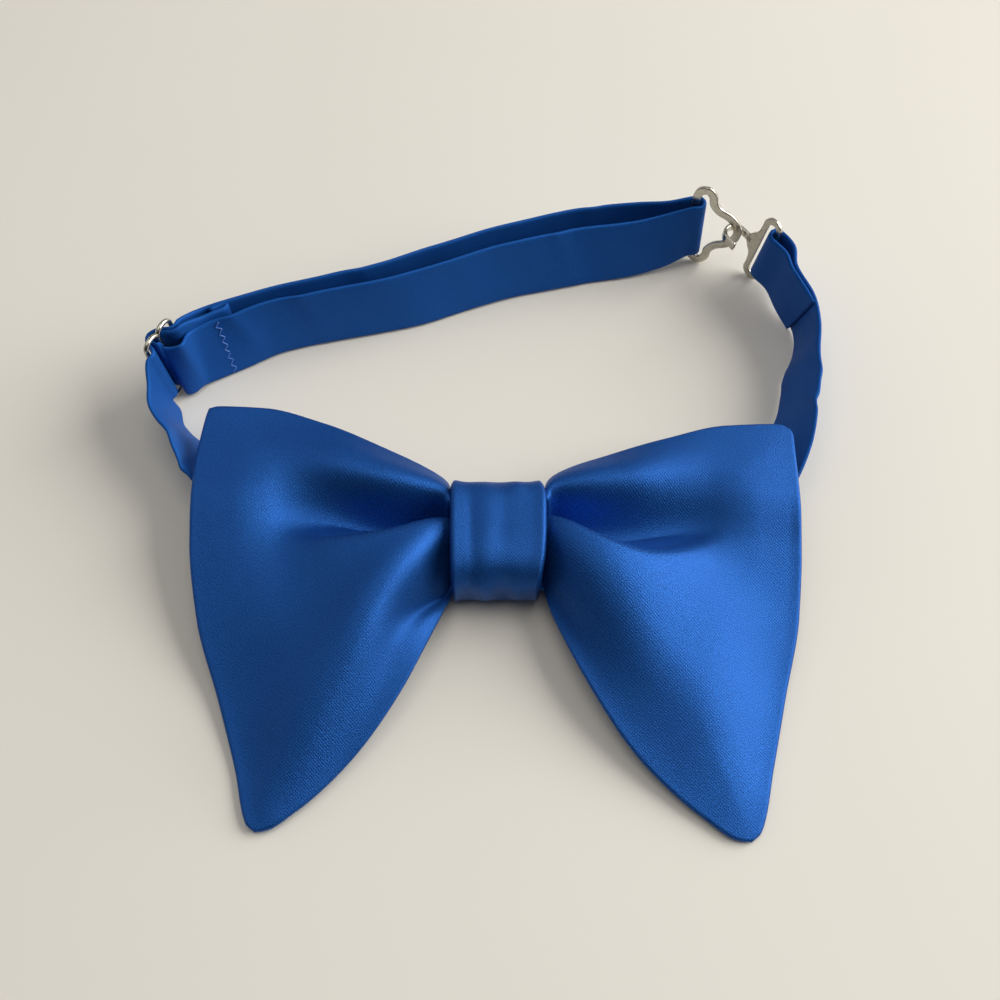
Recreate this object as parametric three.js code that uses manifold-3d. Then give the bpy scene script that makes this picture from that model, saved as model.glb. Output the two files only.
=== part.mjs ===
// A pre-tied bow tie of padded satin, lying on a flat surface with its neck loop spread behind it.
// Millimetres, +Z up. The origin is on the surface, at the middle of the flat underside of the knot.
// +X runs along the bow to its right wing, +Y runs from the bow into the neck loop.
import * as THREE from 'three';
import Module from 'manifold-3d';
import { mergeVertices } from 'three/addons/utils/BufferGeometryUtils.js';

const wasm = await Module();
wasm.setup();

// Driving dimensions

// The bow: one padded piece, two wings joined by the gathered waist that runs through the knot.
const BOW = {
  wall: 3.0, // through the two satin faces and the padding
  edgeWall: 1.5, // at the pressed seam round its edge
  edgeRadius: 0.75, // of the rounded seam
  paddedFrom: 20.0, // how far in from the edge the padding is full
  waistHalf: 11.6, // from the middle to the side of the knot
  waistFront: 12.0, // how far the gathered cloth reaches to the front inside the knot
  waistBack: 11.0, // and to the back
  waistHeight: 10.1, // middle of the gathered cloth above the surface
  waistFloor: 5.2, // the lowest that the middle of the wall comes inside the knot
  clear: 0.35, // between the gathered cloth and the knot round it
};

// The outline of each wing in plan. Three edges: the top edge and the lower edge run out from
// the knot, the outer edge runs up from the drooping tip to the upper corner.
const OUTLINE = [
  { edge: 'top', at: 0.0, left: [-11.6, 11.3], right: [11.6, 11.3] },
  { edge: 'top', at: 0.03, left: [-12.8, 14.4], right: [12.8, 14.6] },
  { edge: 'top', at: 0.07, left: [-15.4, 16.8], right: [15.2, 16.6] },
  { edge: 'top', at: 0.25, left: [-28.2, 23.7], right: [26.6, 21.1] },
  { edge: 'top', at: 0.5, left: [-43.5, 30.4], right: [41.8, 25.9] },
  { edge: 'top', at: 0.75, left: [-58.8, 34.8], right: [57.0, 29.3] },
  { edge: 'top', at: 0.95, left: [-70.4, 35.2], right: [70.1, 29.5] },
  { edge: 'top', at: 1.0, left: [-73.1, 34.5], right: [73.1, 27.9] },
  { edge: 'outer', at: 0.0, left: [-54.6, -69.2], right: [56.8, -71.4] },
  { edge: 'outer', at: 0.03, left: [-56.8, -67.2], right: [59.2, -69.2] },
  { edge: 'outer', at: 0.16, left: [-60.3, -55.0], right: [63.4, -54.5] },
  { edge: 'outer', at: 0.32, left: [-65.5, -39.0], right: [67.6, -38.0] },
  { edge: 'outer', at: 0.5, left: [-71.9, -19.8], right: [72.2, -19.0] },
  { edge: 'outer', at: 0.68, left: [-74.7, -0.5], right: [73.6, -2.0] },
  { edge: 'outer', at: 0.84, left: [-75.0, 15.5], right: [73.8, 12.5] },
  { edge: 'outer', at: 0.975, left: [-73.7, 31.8], right: [73.8, 25.8] },
  { edge: 'outer', at: 1.0, left: [-73.1, 34.5], right: [73.1, 27.9] },
  { edge: 'lower', at: 0.0, left: [-11.6, -12.2], right: [11.6, -12.2] },
  { edge: 'lower', at: 0.03, left: [-12.4, -16.2], right: [12.2, -16.4] },
  { edge: 'lower', at: 0.08, left: [-14.4, -21.2], right: [14.0, -21.6] },
  { edge: 'lower', at: 0.28, left: [-22.4, -37.9], right: [22.0, -38.1] },
  { edge: 'lower', at: 0.52, left: [-32.6, -52.5], right: [32.0, -52.9] },
  { edge: 'lower', at: 0.78, left: [-45.4, -64.8], right: [46.2, -66.2] },
  { edge: 'lower', at: 0.96, left: [-52.4, -69.0], right: [54.4, -71.2] },
  { edge: 'lower', at: 1.0, left: [-54.6, -69.2], right: [56.8, -71.4] },
];

// Height of the middle of the wall along the outer edge, from the tip to the upper corner.
const OUTER_RISE = [
  { at: 0.0, left: 0.85, right: 0.85 },
  { at: 0.14, left: 0.9, right: 0.9 },
  { at: 0.32, left: 2.4, right: 2.2 },
  { at: 0.5, left: 6.6, right: 5.4 },
  { at: 0.66, left: 11.0, right: 9.8 },
  { at: 0.8, left: 14.2, right: 13.8 },
  { at: 1.0, left: 14.0, right: 14.8 },
];

// The folds of each wing, as rows from the knot outward: how far out, the fold's line as a share of
// the wing's width, its rise, and how far its flanks spread above and below the line.
const FOLDS = {
  left: {
    'upper ridge': [
      { at: 0, line: 0.87, rise: 3.8, above: 0.12, below: 0.11 },
      { at: 0.2, line: 0.85, rise: 5.4, above: 0.13, below: 0.09 },
      { at: 0.42, line: 0.865, rise: 4.4, above: 0.12, below: 0.08 },
      { at: 0.58, line: 0.885, rise: 1.8, above: 0.11, below: 0.08 },
      { at: 0.75, line: 0.9, rise: 0.3, above: 0.1, below: 0.1 },
      { at: 1, line: 0.9, rise: 0, above: 0.1, below: 0.1 },
    ],
    'pocket': [
      { at: 0, line: 0.69, rise: -4.4, above: 0.1, below: 0.05 },
      { at: 0.15, line: 0.64, rise: -6.6, above: 0.1, below: 0.045 },
      { at: 0.3, line: 0.665, rise: -6.8, above: 0.11, below: 0.05 },
      { at: 0.45, line: 0.695, rise: -5.8, above: 0.12, below: 0.065 },
      { at: 0.58, line: 0.71, rise: -4.6, above: 0.115, below: 0.09 },
      { at: 0.68, line: 0.72, rise: -2.2, above: 0.11, below: 0.11 },
      { at: 0.75, line: 0.725, rise: 0, above: 0.11, below: 0.12 },
    ],
    'flap edge': [
      { at: 0, line: 0.61, rise: 3.4, above: 0.05, below: 0.24 },
      { at: 0.08, line: 0.575, rise: 5.6, above: 0.03, below: 0.24 },
      { at: 0.2, line: 0.555, rise: 6, above: 0.022, below: 0.24 },
      { at: 0.35, line: 0.575, rise: 4.6, above: 0.022, below: 0.24 },
      { at: 0.48, line: 0.595, rise: 2.4, above: 0.026, below: 0.22 },
      { at: 0.6, line: 0.62, rise: 0.4, above: 0.04, below: 0.2 },
      { at: 0.7, line: 0.66, rise: 0, above: 0.05, below: 0.2 },
    ],
    'long roll': [
      { at: 0, line: 0.45, rise: 0.6, above: 0.12, below: 0.1 },
      { at: 0.12, line: 0.42, rise: 2.4, above: 0.12, below: 0.11 },
      { at: 0.27, line: 0.355, rise: 5, above: 0.13, below: 0.12 },
      { at: 0.42, line: 0.29, rise: 6.6, above: 0.16, below: 0.13 },
      { at: 0.58, line: 0.225, rise: 6, above: 0.2, below: 0.13 },
      { at: 0.78, line: 0.13, rise: 3, above: 0.22, below: 0.12 },
      { at: 1, line: 0.03, rise: 0, above: 0.2, below: 0.1 },
    ],
    'dimple': [
      { at: 0, line: 0.1, rise: -3.4, above: 0.08, below: 0.08 },
      { at: 0.1, line: 0.19, rise: -3.6, above: 0.075, below: 0.08 },
      { at: 0.2, line: 0.24, rise: -1.8, above: 0.07, below: 0.07 },
      { at: 0.3, line: 0.27, rise: 0, above: 0.06, below: 0.07 },
    ],
    'lower edge': [
      { at: 0, line: 0, rise: -3.8, above: 0.13, below: 0.1 },
      { at: 0.06, line: 0, rise: -3.4, above: 0.13, below: 0.1 },
      { at: 0.14, line: 0, rise: -1.8, above: 0.15, below: 0.1 },
      { at: 0.25, line: 0, rise: -1.4, above: 0.16, below: 0.1 },
      { at: 0.55, line: 0, rise: -1.2, above: 0.14, below: 0.1 },
      { at: 0.9, line: 0, rise: 0, above: 0.12, below: 0.1 },
    ],
  },
  right: {
    'upper ridge': [
      { at: 0, line: 0.9, rise: 3.8, above: 0.12, below: 0.11 },
      { at: 0.15, line: 0.88, rise: 5.2, above: 0.13, below: 0.11 },
      { at: 0.35, line: 0.86, rise: 4.6, above: 0.13, below: 0.1 },
      { at: 0.55, line: 0.87, rise: 1.8, above: 0.12, below: 0.09 },
      { at: 0.72, line: 0.89, rise: 0.2, above: 0.1, below: 0.1 },
      { at: 1, line: 0.9, rise: 0, above: 0.1, below: 0.1 },
    ],
    'pocket': [
      { at: 0, line: 0.69, rise: -4.4, above: 0.11, below: 0.05 },
      { at: 0.15, line: 0.62, rise: -6.2, above: 0.12, below: 0.045 },
      { at: 0.3, line: 0.625, rise: -6.2, above: 0.14, below: 0.05 },
      { at: 0.46, line: 0.665, rise: -5.6, above: 0.14, below: 0.06 },
      { at: 0.6, line: 0.7, rise: -4.8, above: 0.12, below: 0.08 },
      { at: 0.69, line: 0.715, rise: -2.8, above: 0.11, below: 0.1 },
      { at: 0.77, line: 0.72, rise: 0, above: 0.1, below: 0.11 },
    ],
    'flap edge': [
      { at: 0, line: 0.61, rise: 3.6, above: 0.05, below: 0.26 },
      { at: 0.08, line: 0.55, rise: 6.4, above: 0.03, below: 0.28 },
      { at: 0.2, line: 0.51, rise: 6.8, above: 0.024, below: 0.3 },
      { at: 0.35, line: 0.51, rise: 5.4, above: 0.024, below: 0.28 },
      { at: 0.5, line: 0.55, rise: 3.2, above: 0.026, below: 0.24 },
      { at: 0.64, line: 0.615, rise: 1.2, above: 0.035, below: 0.2 },
      { at: 0.74, line: 0.66, rise: 0.3, above: 0.05, below: 0.18 },
      { at: 0.84, line: 0.7, rise: 0, above: 0.06, below: 0.2 },
    ],
    'long roll': [
      { at: 0, line: 0.45, rise: 0.8, above: 0.2, below: 0.16 },
      { at: 0.12, line: 0.42, rise: 2.2, above: 0.22, below: 0.18 },
      { at: 0.3, line: 0.38, rise: 3.4, above: 0.25, below: 0.2 },
      { at: 0.48, line: 0.33, rise: 3.9, above: 0.28, below: 0.2 },
      { at: 0.66, line: 0.27, rise: 3.6, above: 0.28, below: 0.18 },
      { at: 0.85, line: 0.18, rise: 1.8, above: 0.26, below: 0.15 },
      { at: 1, line: 0.1, rise: 0, above: 0.2, below: 0.1 },
    ],
    'lower valley': [
      { at: 0, line: 0.18, rise: -2.2, above: 0.1, below: 0.12 },
      { at: 0.12, line: 0.15, rise: -1.8, above: 0.1, below: 0.12 },
      { at: 0.25, line: 0.12, rise: -0.6, above: 0.1, below: 0.12 },
      { at: 0.4, line: 0.1, rise: 0, above: 0.1, below: 0.12 },
    ],
    'lower edge': [
      { at: 0, line: 0, rise: -3.8, above: 0.13, below: 0.1 },
      { at: 0.06, line: 0, rise: -3.4, above: 0.13, below: 0.1 },
      { at: 0.14, line: 0, rise: -1.8, above: 0.15, below: 0.1 },
      { at: 0.25, line: 0, rise: -1.4, above: 0.16, below: 0.1 },
      { at: 0.55, line: 0, rise: -1.2, above: 0.14, below: 0.1 },
      { at: 0.9, line: 0, rise: 0, above: 0.12, below: 0.1 },
    ],
  },
};

// The knot: a band of satin wrapped round the waist, with turned-in side edges.
const KNOT = {
  depth: 26.6, // along Y
  height: 19.2, // above the surface
  wall: 1.5,
  squareness: 3.4, // of its section: 2 is an ellipse
  frontSquareness: 2.9, // of the half that faces the wings' tips
  front: 1.2, // how much further its front reaches than its back
  sink: 0.7, // how much of the curved underside is flattened where it rests
  edgeRadius: 0.8,
  hem: 0.7, // how far the turned-in side edges stand up
};

// The side edges and the height of the knot's surface round its section, from the loop's side
// over the top to the front and back underneath.
const KNOT_ROUND = [
  { deg: 0, left: -11.4, right: 10.6, swell: 0.0 },
  { deg: 40, left: -11.5, right: 11.2, swell: 0.25 },
  { deg: 75, left: -11.5, right: 11.8, swell: 0.0 },
  { deg: 110, left: -11.3, right: 11.4, swell: 0.35 },
  { deg: 150, left: -11.2, right: 10.4, swell: 0.1 },
  { deg: 185, left: -11.0, right: 9.8, swell: 0.3 },
  { deg: 230, left: -11.0, right: 10.0, swell: 0.0 },
  { deg: 310, left: -11.2, right: 10.4, swell: 0.0 },
];

// The neckband: one stitched satin strap, doubled back through the slider.
const BAND = {
  width: 18,
  thick: 1.0,
};

// Metal fittings for an 18 mm strap
const WIRE = { radius: 0.65, pitch: 5.3, inside: 20.2, arch: 1.9 };
const PLATE = { thick: 1.0, band: 2.3 };
const HOOK = { tongueWidth: 2.4, bend: 2.9, lip: 2.6, reach: 10.0 };

// Where each fitting stands: its strap bar's foot on the surface, the way the strap runs there,
// how far the bar leans out of the loop, how high the strap's lower edge rides and how far the
// fitting is turned in its own plane.
const FITTINGS = {
  hook: { x: 72.35, y: 85.50, heading: -48, lean: 3.0, lift: 3.4, roll: -7.0 },
  slider: { x: -84.2, y: 50.9, heading: 64, lean: 9, lift: 2.55, roll: 0 },
  eye: { x: 53.9, y: 93.6, heading: -19, lean: 7, lift: 3.5, roll: 3 },
};

// The neckband's lower edge in plan, section by section along the strap. Lean is its tilt out of
// the loop: 0 stands on its edge, 90 lies flat. Lift is the height of its lowest edge, and slant
// carries the top corner of a cut end further along the strap.
const RIGHT_RUN = [
  { x: 77.5, y: 76.2, lean: 5, lift: 1.4 },
  { x: 80.9, y: 67.2, lean: 6, lift: 0.3 },
  { x: 80.0, y: 60.0, lean: 12, lift: 0.05 },
  { x: 76.9, y: 53.0, lean: 20, lift: 0.05 },
  { x: 75.2, y: 46.0, lean: 24, lift: 0.05 },
  { x: 73.2, y: 39.0, lean: 28, lift: 0.05 },
  { x: 68.2, y: 31.3, lean: 45, lift: 0.05 },
  { x: 60.5, y: 23.0, lean: 64, lift: 0.05 },
  { x: 47.5, y: 16.0, lean: 84, lift: 0.05 },
  { x: 31.0, y: 11.5, lean: 90, lift: 0.05 },
  { x: 22.0, y: 9.8, lean: 90, lift: 0.9 },
  { x: 12.5, y: 9.0, lean: 90, lift: 2.2 },
];
const LEFT_RUN = [
  { x: 0.0, y: 8.9, lean: 90, lift: 2.2 },
  { x: -12.5, y: 9.0, lean: 90, lift: 2.2 },
  { x: -22.0, y: 9.8, lean: 90, lift: 0.9 },
  { x: -31.0, y: 11.5, lean: 90, lift: 0.05 },
  { x: -47.5, y: 16.0, lean: 84, lift: 0.05 },
  { x: -61.0, y: 22.6, lean: 64, lift: 0.05 },
  { x: -70.5, y: 28.2, lean: 47, lift: 0.05 },
  { x: -77.6, y: 32.6, lean: 27, lift: 0.05 },
  { x: -82.6, y: 37.4, lean: 20, lift: 0.05 },
  { x: -84.2, y: 42.4, lean: 16, lift: 0.4 },
];
const SHORT_END = [
  { x: 79.2, y: 68.6, lean: 6, lift: 0.6, slant: 0.28 },
  { x: 76.5, y: 74.9, lean: 5, lift: 1.5 },
];
const REAR_LAYER = [
  { x: -76.9, y: 58.6, lean: 12, lift: 0.8 },
  { x: -70.6, y: 61.2, lean: 15, lift: 0.2 },
  { x: -56.4, y: 66.0, lean: 16, lift: 0.05 },
  { x: -43.4, y: 69.8, lean: 16, lift: 0.05 },
  { x: -30.0, y: 73.8, lean: 16, lift: 0.05 },
  { x: -16.2, y: 79.1, lean: 16, lift: 0.05 },
  { x: 2.2, y: 86.2, lean: 16, lift: 0.05 },
  { x: 22.8, y: 92.0, lean: 16, lift: 0.05 },
  { x: 38.0, y: 93.8, lean: 14, lift: 0.8 },
  { x: 46.5, y: 94.4, lean: 10, lift: 2.0 },
];
const FRONT_LAYER = [
  { x: 46.5, y: 89.0, lean: 15, lift: 1.6 },
  { x: 38.4, y: 86.8, lean: 18, lift: 0.5 },
  { x: 21.8, y: 84.0, lean: 20, lift: 0.05 },
  { x: 0.5, y: 78.6, lean: 18, lift: 0.05 },
  { x: -18.4, y: 71.4, lean: 17, lift: 0.05 },
  { x: -32.3, y: 67.6, lean: 15, lift: 0.05 },
  { x: -46.1, y: 64.7, lean: 14, lift: 0.05 },
  { x: -59.7, y: 60.8, lean: 15, lift: 0.05 },
  { x: -66.6, y: 56.9, lean: 18, lift: 0.05 },
  { x: -72.8, y: 53.6, lean: 20, lift: 0.05 },
  { x: -77.0, y: 51.2, lean: 18, lift: 0.3 },
];
const RETURNED_END = [
  { x: -75.2, y: 56.0, lean: 14, lift: 1.0 },
  { x: -72.4, y: 57.5, lean: 15, lift: 0.7 },
  { x: -69.2, y: 59.1, lean: 16, lift: 0.5 },
];
const HEM = [
  { x: -69.8, y: 60.2, lean: 16, lift: 0.5 },
  { x: -73.4, y: 58.6, lean: 15, lift: 0.8 },
];

// The strap's layers round the bars, like a belt round pulleys: distance along the fitting from
// its middle bar, and how far the middle of the strap stands outside (+) or inside (-) the bar.
// Drop lowers a section that hangs in front of the fitting, and tip draws its top back to the bar.
const BELT = {
  hookShort: [
    { on: 5, out: -2.0 },
    { on: 0, out: -1.9 },
  ],
  hookMain: [
    { on: 0, out: 1.9 },
    { on: 5, out: 1.3 },
  ],
  running: [
    { on: -6.9, out: -1.3 },
    { on: -5.3, out: -1.62 },
    { on: -4.0, out: -0.95 },
    { on: -2.3, out: 2.1 },
    { on: 0, out: 3.4 },
    { on: 2.3, out: 2.1 },
    { on: 4.0, out: -0.95 },
    { on: 5.3, out: -1.62 },
    { on: 6.6, out: -1.45 },
  ],
  front: [
    { on: 1.4, out: -5.2, drop: 2.3 },
    { on: -0.9, out: -4.4, drop: 2.4, tip: 0.9 },
    { on: -2.6, out: -3.0, drop: 2.0, tip: 1.6 },
  ],
  returned: [
    { on: 1.5, out: 1.1 },
    { on: 3.1, out: -1.85 },
    { on: 4.2, out: -2.9 },
    { on: 5.5, out: -3.15 },
  ],
};

// Helpers

const lerp = (a, b, t) => a + (b - a) * t;
const clamp = (x, low, high) => Math.min(high, Math.max(low, x));
const smooth = (t) => {
  const c = clamp(t, 0, 1);
  return c * c * (3 - 2 * c);
};

// A value between the rows of a table, by a smooth curve that never overshoots its rows.
function between(rows, key, column, x) {
  if (x <= rows[0][key]) return rows[0][column];
  const last = rows.length - 1;
  if (x >= rows[last][key]) return rows[last][column];
  const slope = (i) => (rows[i + 1][column] - rows[i][column]) / (rows[i + 1][key] - rows[i][key]);
  const tangent = (i) => {
    if (i === 0) return slope(0);
    if (i === last) return slope(last - 1);
    const before = slope(i - 1);
    const after = slope(i);
    return before * after <= 0 ? 0 : (2 * before * after) / (before + after);
  };
  let i = 0;
  while (x > rows[i + 1][key]) i += 1;
  const span = rows[i + 1][key] - rows[i][key];
  const t = (x - rows[i][key]) / span;
  const low = rows[i][column];
  const high = rows[i + 1][column];
  return (
    low * (1 + 2 * t) * (1 - t) * (1 - t) +
    high * t * t * (3 - 2 * t) +
    tangent(i) * span * t * (1 - t) * (1 - t) +
    tangent(i + 1) * span * t * t * (t - 1)
  );
}

// A closed body from a list of points and a list of triangles.
function body(points, triangles) {
  const geometry = new THREE.BufferGeometry();
  geometry.setAttribute('position', new THREE.Float32BufferAttribute(points.flat(), 3));
  geometry.setIndex(triangles.flat());
  geometry.computeVertexNormals();
  return geometry;
}

// Rings of equal length joined in order; closed lengthways, or with a cap at each end.
function skin(rings, closed) {
  const count = rings[0].length;
  const points = rings.flat();
  const triangles = [];
  const spans = closed ? rings.length : rings.length - 1;
  for (let i = 0; i < spans; i += 1) {
    const here = i * count;
    const next = ((i + 1) % rings.length) * count;
    for (let j = 0; j < count; j += 1) {
      const k = (j + 1) % count;
      triangles.push([here + j, here + k, next + k], [here + j, next + k, next + j]);
    }
  }
  if (!closed) {
    const end = (rings.length - 1) * count;
    for (let j = 1; j < count - 1; j += 1) {
      triangles.push([0, j + 1, j], [end, end + j, end + j + 1]);
    }
  }
  return body(points, triangles);
}

// A geometry as a solid that can be joined, and back.
function solid(geometry) {
  const bare = geometry.index ? geometry.clone() : mergeVertices(geometry.clone());
  bare.deleteAttribute('normal');
  bare.deleteAttribute('uv');
  const merged = mergeVertices(bare, 1e-5);
  return new wasm.Manifold(
    new wasm.Mesh({
      numProp: 3,
      vertProperties: new Float32Array(merged.attributes.position.array),
      triVerts: new Uint32Array(merged.index.array),
    }),
  );
}
function geometryOf(made) {
  const mesh = made.getMesh();
  const geometry = new THREE.BufferGeometry();
  geometry.setAttribute('position', new THREE.BufferAttribute(new Float32Array(mesh.vertProperties), 3));
  geometry.setIndex(new THREE.BufferAttribute(new Uint32Array(mesh.triVerts), 1));
  geometry.computeVertexNormals();
  return geometry;
}

// The bow

// A point on one edge of a wing, at a share of the way along it.
function edgePoint(edge, side, t) {
  const rows = OUTLINE.filter((row) => row.edge === edge).map((row) => ({
    at: row.at,
    x: row[side][0],
    y: row[side][1],
  }));
  return [between(rows, 'at', 'x', t), between(rows, 'at', 'y', t)];
}

// Plan position in a wing: u from the knot outward, v from the lower edge to the top edge.
function wingPlan(side, u, v) {
  const top = edgePoint('top', side, u);
  const low = edgePoint('lower', side, u);
  const out = edgePoint('outer', side, v);
  const rootLow = edgePoint('lower', side, 0);
  const rootTop = edgePoint('top', side, 0);
  const tip = edgePoint('outer', side, 0);
  const corner = edgePoint('outer', side, 1);
  return [0, 1].map((i) => {
    const root = lerp(rootLow[i], rootTop[i], v);
    const flat =
      (1 - u) * (1 - v) * rootLow[i] + (1 - u) * v * rootTop[i] + u * (1 - v) * tip[i] + u * v * corner[i];
    return (1 - v) * low[i] + v * top[i] + (1 - u) * root + u * out[i] - flat;
  });
}

// The sum of the folds of one side. Folds that start before the knot run on through the waist.
function foldRise(side, u, v) {
  let rise = 0;
  for (const rows of Object.values(FOLDS[side])) {
    const at = (column) => between(rows, 'at', column, u);
    const off = v - at('line');
    const flank = off > 0 ? off / at('above') : off / at('below');
    rise += at('rise') * Math.exp(-flank * flank);
  }
  return rise;
}

// Height of the middle of the wing's wall.
function wingRise(side, u, v) {
  const out = between(OUTER_RISE, 'at', side, v);
  const base = lerp(BOW.waistHeight, out, smooth(u * 1.05));
  const crown = 2.2 * Math.sin(Math.PI * clamp(u, 0, 1)) * Math.sin(Math.PI * clamp(v, 0, 1));
  return base + crown + foldRise(side, u, v);
}

// Height in the gathered waist, between the two sides' folds.
function waistRise(x, v) {
  const t = (x + BOW.waistHalf) / (2 * BOW.waistHalf);
  return inKnot(lerp(wingRise('left', 0, v), wingRise('right', 0, v), smooth(t)), v);
}

// A height kept between the floor and the roof of the knot at a share of the waist's width.
function inKnot(z, v) {
  const y = lerp(-BOW.waistFront, BOW.waistBack, v);
  const p = y < 0 ? KNOT.frontSquareness : KNOT.squareness;
  const halfY = KNOT.depth / 2 + (y < 0 ? KNOT.front : 0) - KNOT.wall - BOW.clear;
  const halfZ = (KNOT.height + KNOT.sink) / 2 - KNOT.wall - BOW.clear - BOW.wall / 2;
  const room = halfZ * Math.max(1 - Math.abs(y / halfY) ** p, 0) ** (1 / p);
  const centre = (KNOT.height - KNOT.sink) / 2;
  return clamp(z, Math.max(BOW.waistFloor, centre - room), centre + room);
}

// The point of the bow's middle surface for a station across the bow and a share of its width.
function bowPoint(station, v) {
  if (Math.abs(station) <= 1) {
    const x = station * BOW.waistHalf;
    return [x, lerp(-BOW.waistFront, BOW.waistBack, v), waistRise(x, v)];
  }
  const side = station < 0 ? 'left' : 'right';
  const u = Math.abs(station) - 1;
  const [x, y] = wingPlan(side, u, v);
  const held = 1 - smooth(u / 0.06);
  const z = wingRise(side, u, v);
  return [x, y, lerp(z, inKnot(z, v), held)];
}

function bowGeometry() {
  const outward = [
    0, 0.03, 0.065, 0.11, 0.16, 0.22, 0.28, 0.345, 0.41, 0.48,
    0.55, 0.62, 0.69, 0.76, 0.83, 0.9, 0.96, 0.99, 1,
  ];
  const stations = [...outward.map((u) => -1 - u).reverse(), -0.35, 0.35, ...outward.map((u) => 1 + u)];
  const shares = [0, 0.008, 0.035];
  for (let i = 1; i <= 13; i += 1) shares.push(lerp(0.035, 0.48, i / 13));
  for (let i = 1; i <= 13; i += 1) shares.push(lerp(0.48, 0.74, i / 13));
  for (let i = 1; i <= 11; i += 1) shares.push(lerp(0.74, 0.965, i / 11));
  shares.push(0.992, 1);
  const points = [];
  const top = [];
  const under = [];
  const middle = stations.map((s) => shares.map((v) => bowPoint(s, v)));
  const lastS = stations.length - 1;
  const lastV = shares.length - 1;
  stations.forEach((s, i) => {
    top.push([]);
    under.push([]);
    shares.forEach((v, j) => {
      const [x, y, z] = middle[i][j];
      const near = (a, b) => Math.hypot(a[0] - b[0], a[1] - b[1]);
      const edges = [
        near(middle[i][j], middle[i][0]),
        near(middle[i][j], middle[i][lastV]),
        near(middle[i][j], middle[0][j]),
        near(middle[i][j], middle[lastS][j]),
      ];
      const inset = Math.min(...edges);
      const turned = 1 - clamp(inset / BOW.edgeRadius, 0, 1);
      const full = lerp(BOW.edgeWall, BOW.wall, smooth(inset / BOW.paddedFrom));
      const half = (full / 2) * Math.sqrt(Math.max(1 - turned * turned, 0));
      if (half < 1e-6) {
        points.push([x, y, Math.max(z, 0.35)]);
        top[i].push(points.length - 1);
        under[i].push(points.length - 1);
        return;
      }
      const left = middle[Math.max(i - 1, 0)][j];
      const right = middle[Math.min(i + 1, lastS)][j];
      const low = middle[i][Math.max(j - 1, 0)];
      const high = middle[i][Math.min(j + 1, lastV)];
      const across = Math.hypot(high[0] - low[0], high[1] - low[1]) || 1;
      const along = Math.hypot(right[0] - left[0], right[1] - left[1]) || 1;
      const steep = Math.hypot((high[2] - low[2]) / across, (right[2] - left[2]) / along);
      const offset = half * Math.min(Math.sqrt(1 + steep * steep), Math.abs(s) < 1.03 ? 1 : 1.3);
      points.push([x, y, z + offset]);
      top[i].push(points.length - 1);
      points.push([x, y, Math.max(z - offset, 0)]);
      under[i].push(points.length - 1);
    });
  });
  const triangles = [];
  const add = (a, b, c) => {
    if (a !== b && b !== c && a !== c) triangles.push([a, b, c]);
  };
  for (let i = 0; i < lastS; i += 1) {
    for (let j = 0; j < lastV; j += 1) {
      add(top[i][j], top[i + 1][j], top[i + 1][j + 1]);
      add(top[i][j], top[i + 1][j + 1], top[i][j + 1]);
      add(under[i][j], under[i + 1][j + 1], under[i + 1][j]);
      add(under[i][j], under[i][j + 1], under[i + 1][j + 1]);
    }
  }
  return body(points, triangles);
}

// The knot

// A point of the knot's section: 0 degrees faces the loop, 90 is the top.
function knotSection(deg, inset) {
  const angle = THREE.MathUtils.degToRad(deg);
  const c = Math.cos(angle);
  const s = Math.sin(angle);
  const power = 2 / (c < 0 ? KNOT.frontSquareness : KNOT.squareness);
  const halfY = KNOT.depth / 2 + (c < 0 ? KNOT.front : 0) - inset;
  const halfZ = (KNOT.height + KNOT.sink) / 2 - inset;
  const y = halfY * Math.sign(c) * Math.abs(c) ** power;
  const z = halfZ * Math.sign(s) * Math.abs(s) ** power + (KNOT.height - KNOT.sink) / 2;
  return [y, Math.max(z, inset)];
}

function knotGeometry() {
  const around = 44;
  const round = [...KNOT_ROUND, { ...KNOT_ROUND[0], deg: 360 }];
  const rings = [];
  for (let i = 0; i < around; i += 1) {
    const deg = (360 * i) / around;
    const left = between(round, 'deg', 'left', deg);
    const right = between(round, 'deg', 'right', deg);
    const swell = deg > 185 ? 0 : between(round, 'deg', 'swell', deg);
    const r = KNOT.edgeRadius;
    const hem = KNOT.hem * smooth((deg - 2) / 14) * (1 - smooth((deg - 172) / 12));
    const across = [
      { x: left, inset: KNOT.wall / 2 },
      { x: left + 0.25 * r, inset: 0.22 - hem },
      { x: left + r, inset: -hem },
      { x: lerp(left, right, 0.3), inset: -swell * 0.6 },
      { x: lerp(left, right, 0.6), inset: -swell },
      { x: right - r, inset: -0.75 * hem },
      { x: right - 0.25 * r, inset: 0.22 - 0.75 * hem },
      { x: right, inset: KNOT.wall / 2 },
      { x: right - 0.6 * r, inset: KNOT.wall },
      { x: lerp(left, right, 0.5), inset: KNOT.wall },
      { x: left + 0.6 * r, inset: KNOT.wall },
    ];
    rings.push(
      across.map(({ x, inset }) => {
        const [y, z] = knotSection(deg, Math.max(inset, 0));
        const grow = inset < 0 ? 1 - inset / 12 : 1;
        return [x, y * grow, inset < 0 ? Math.max(0, (z - KNOT.height / 2) * grow + KNOT.height / 2) : z];
      }),
    );
  }
  return skin(rings.reverse(), true);
}

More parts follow.
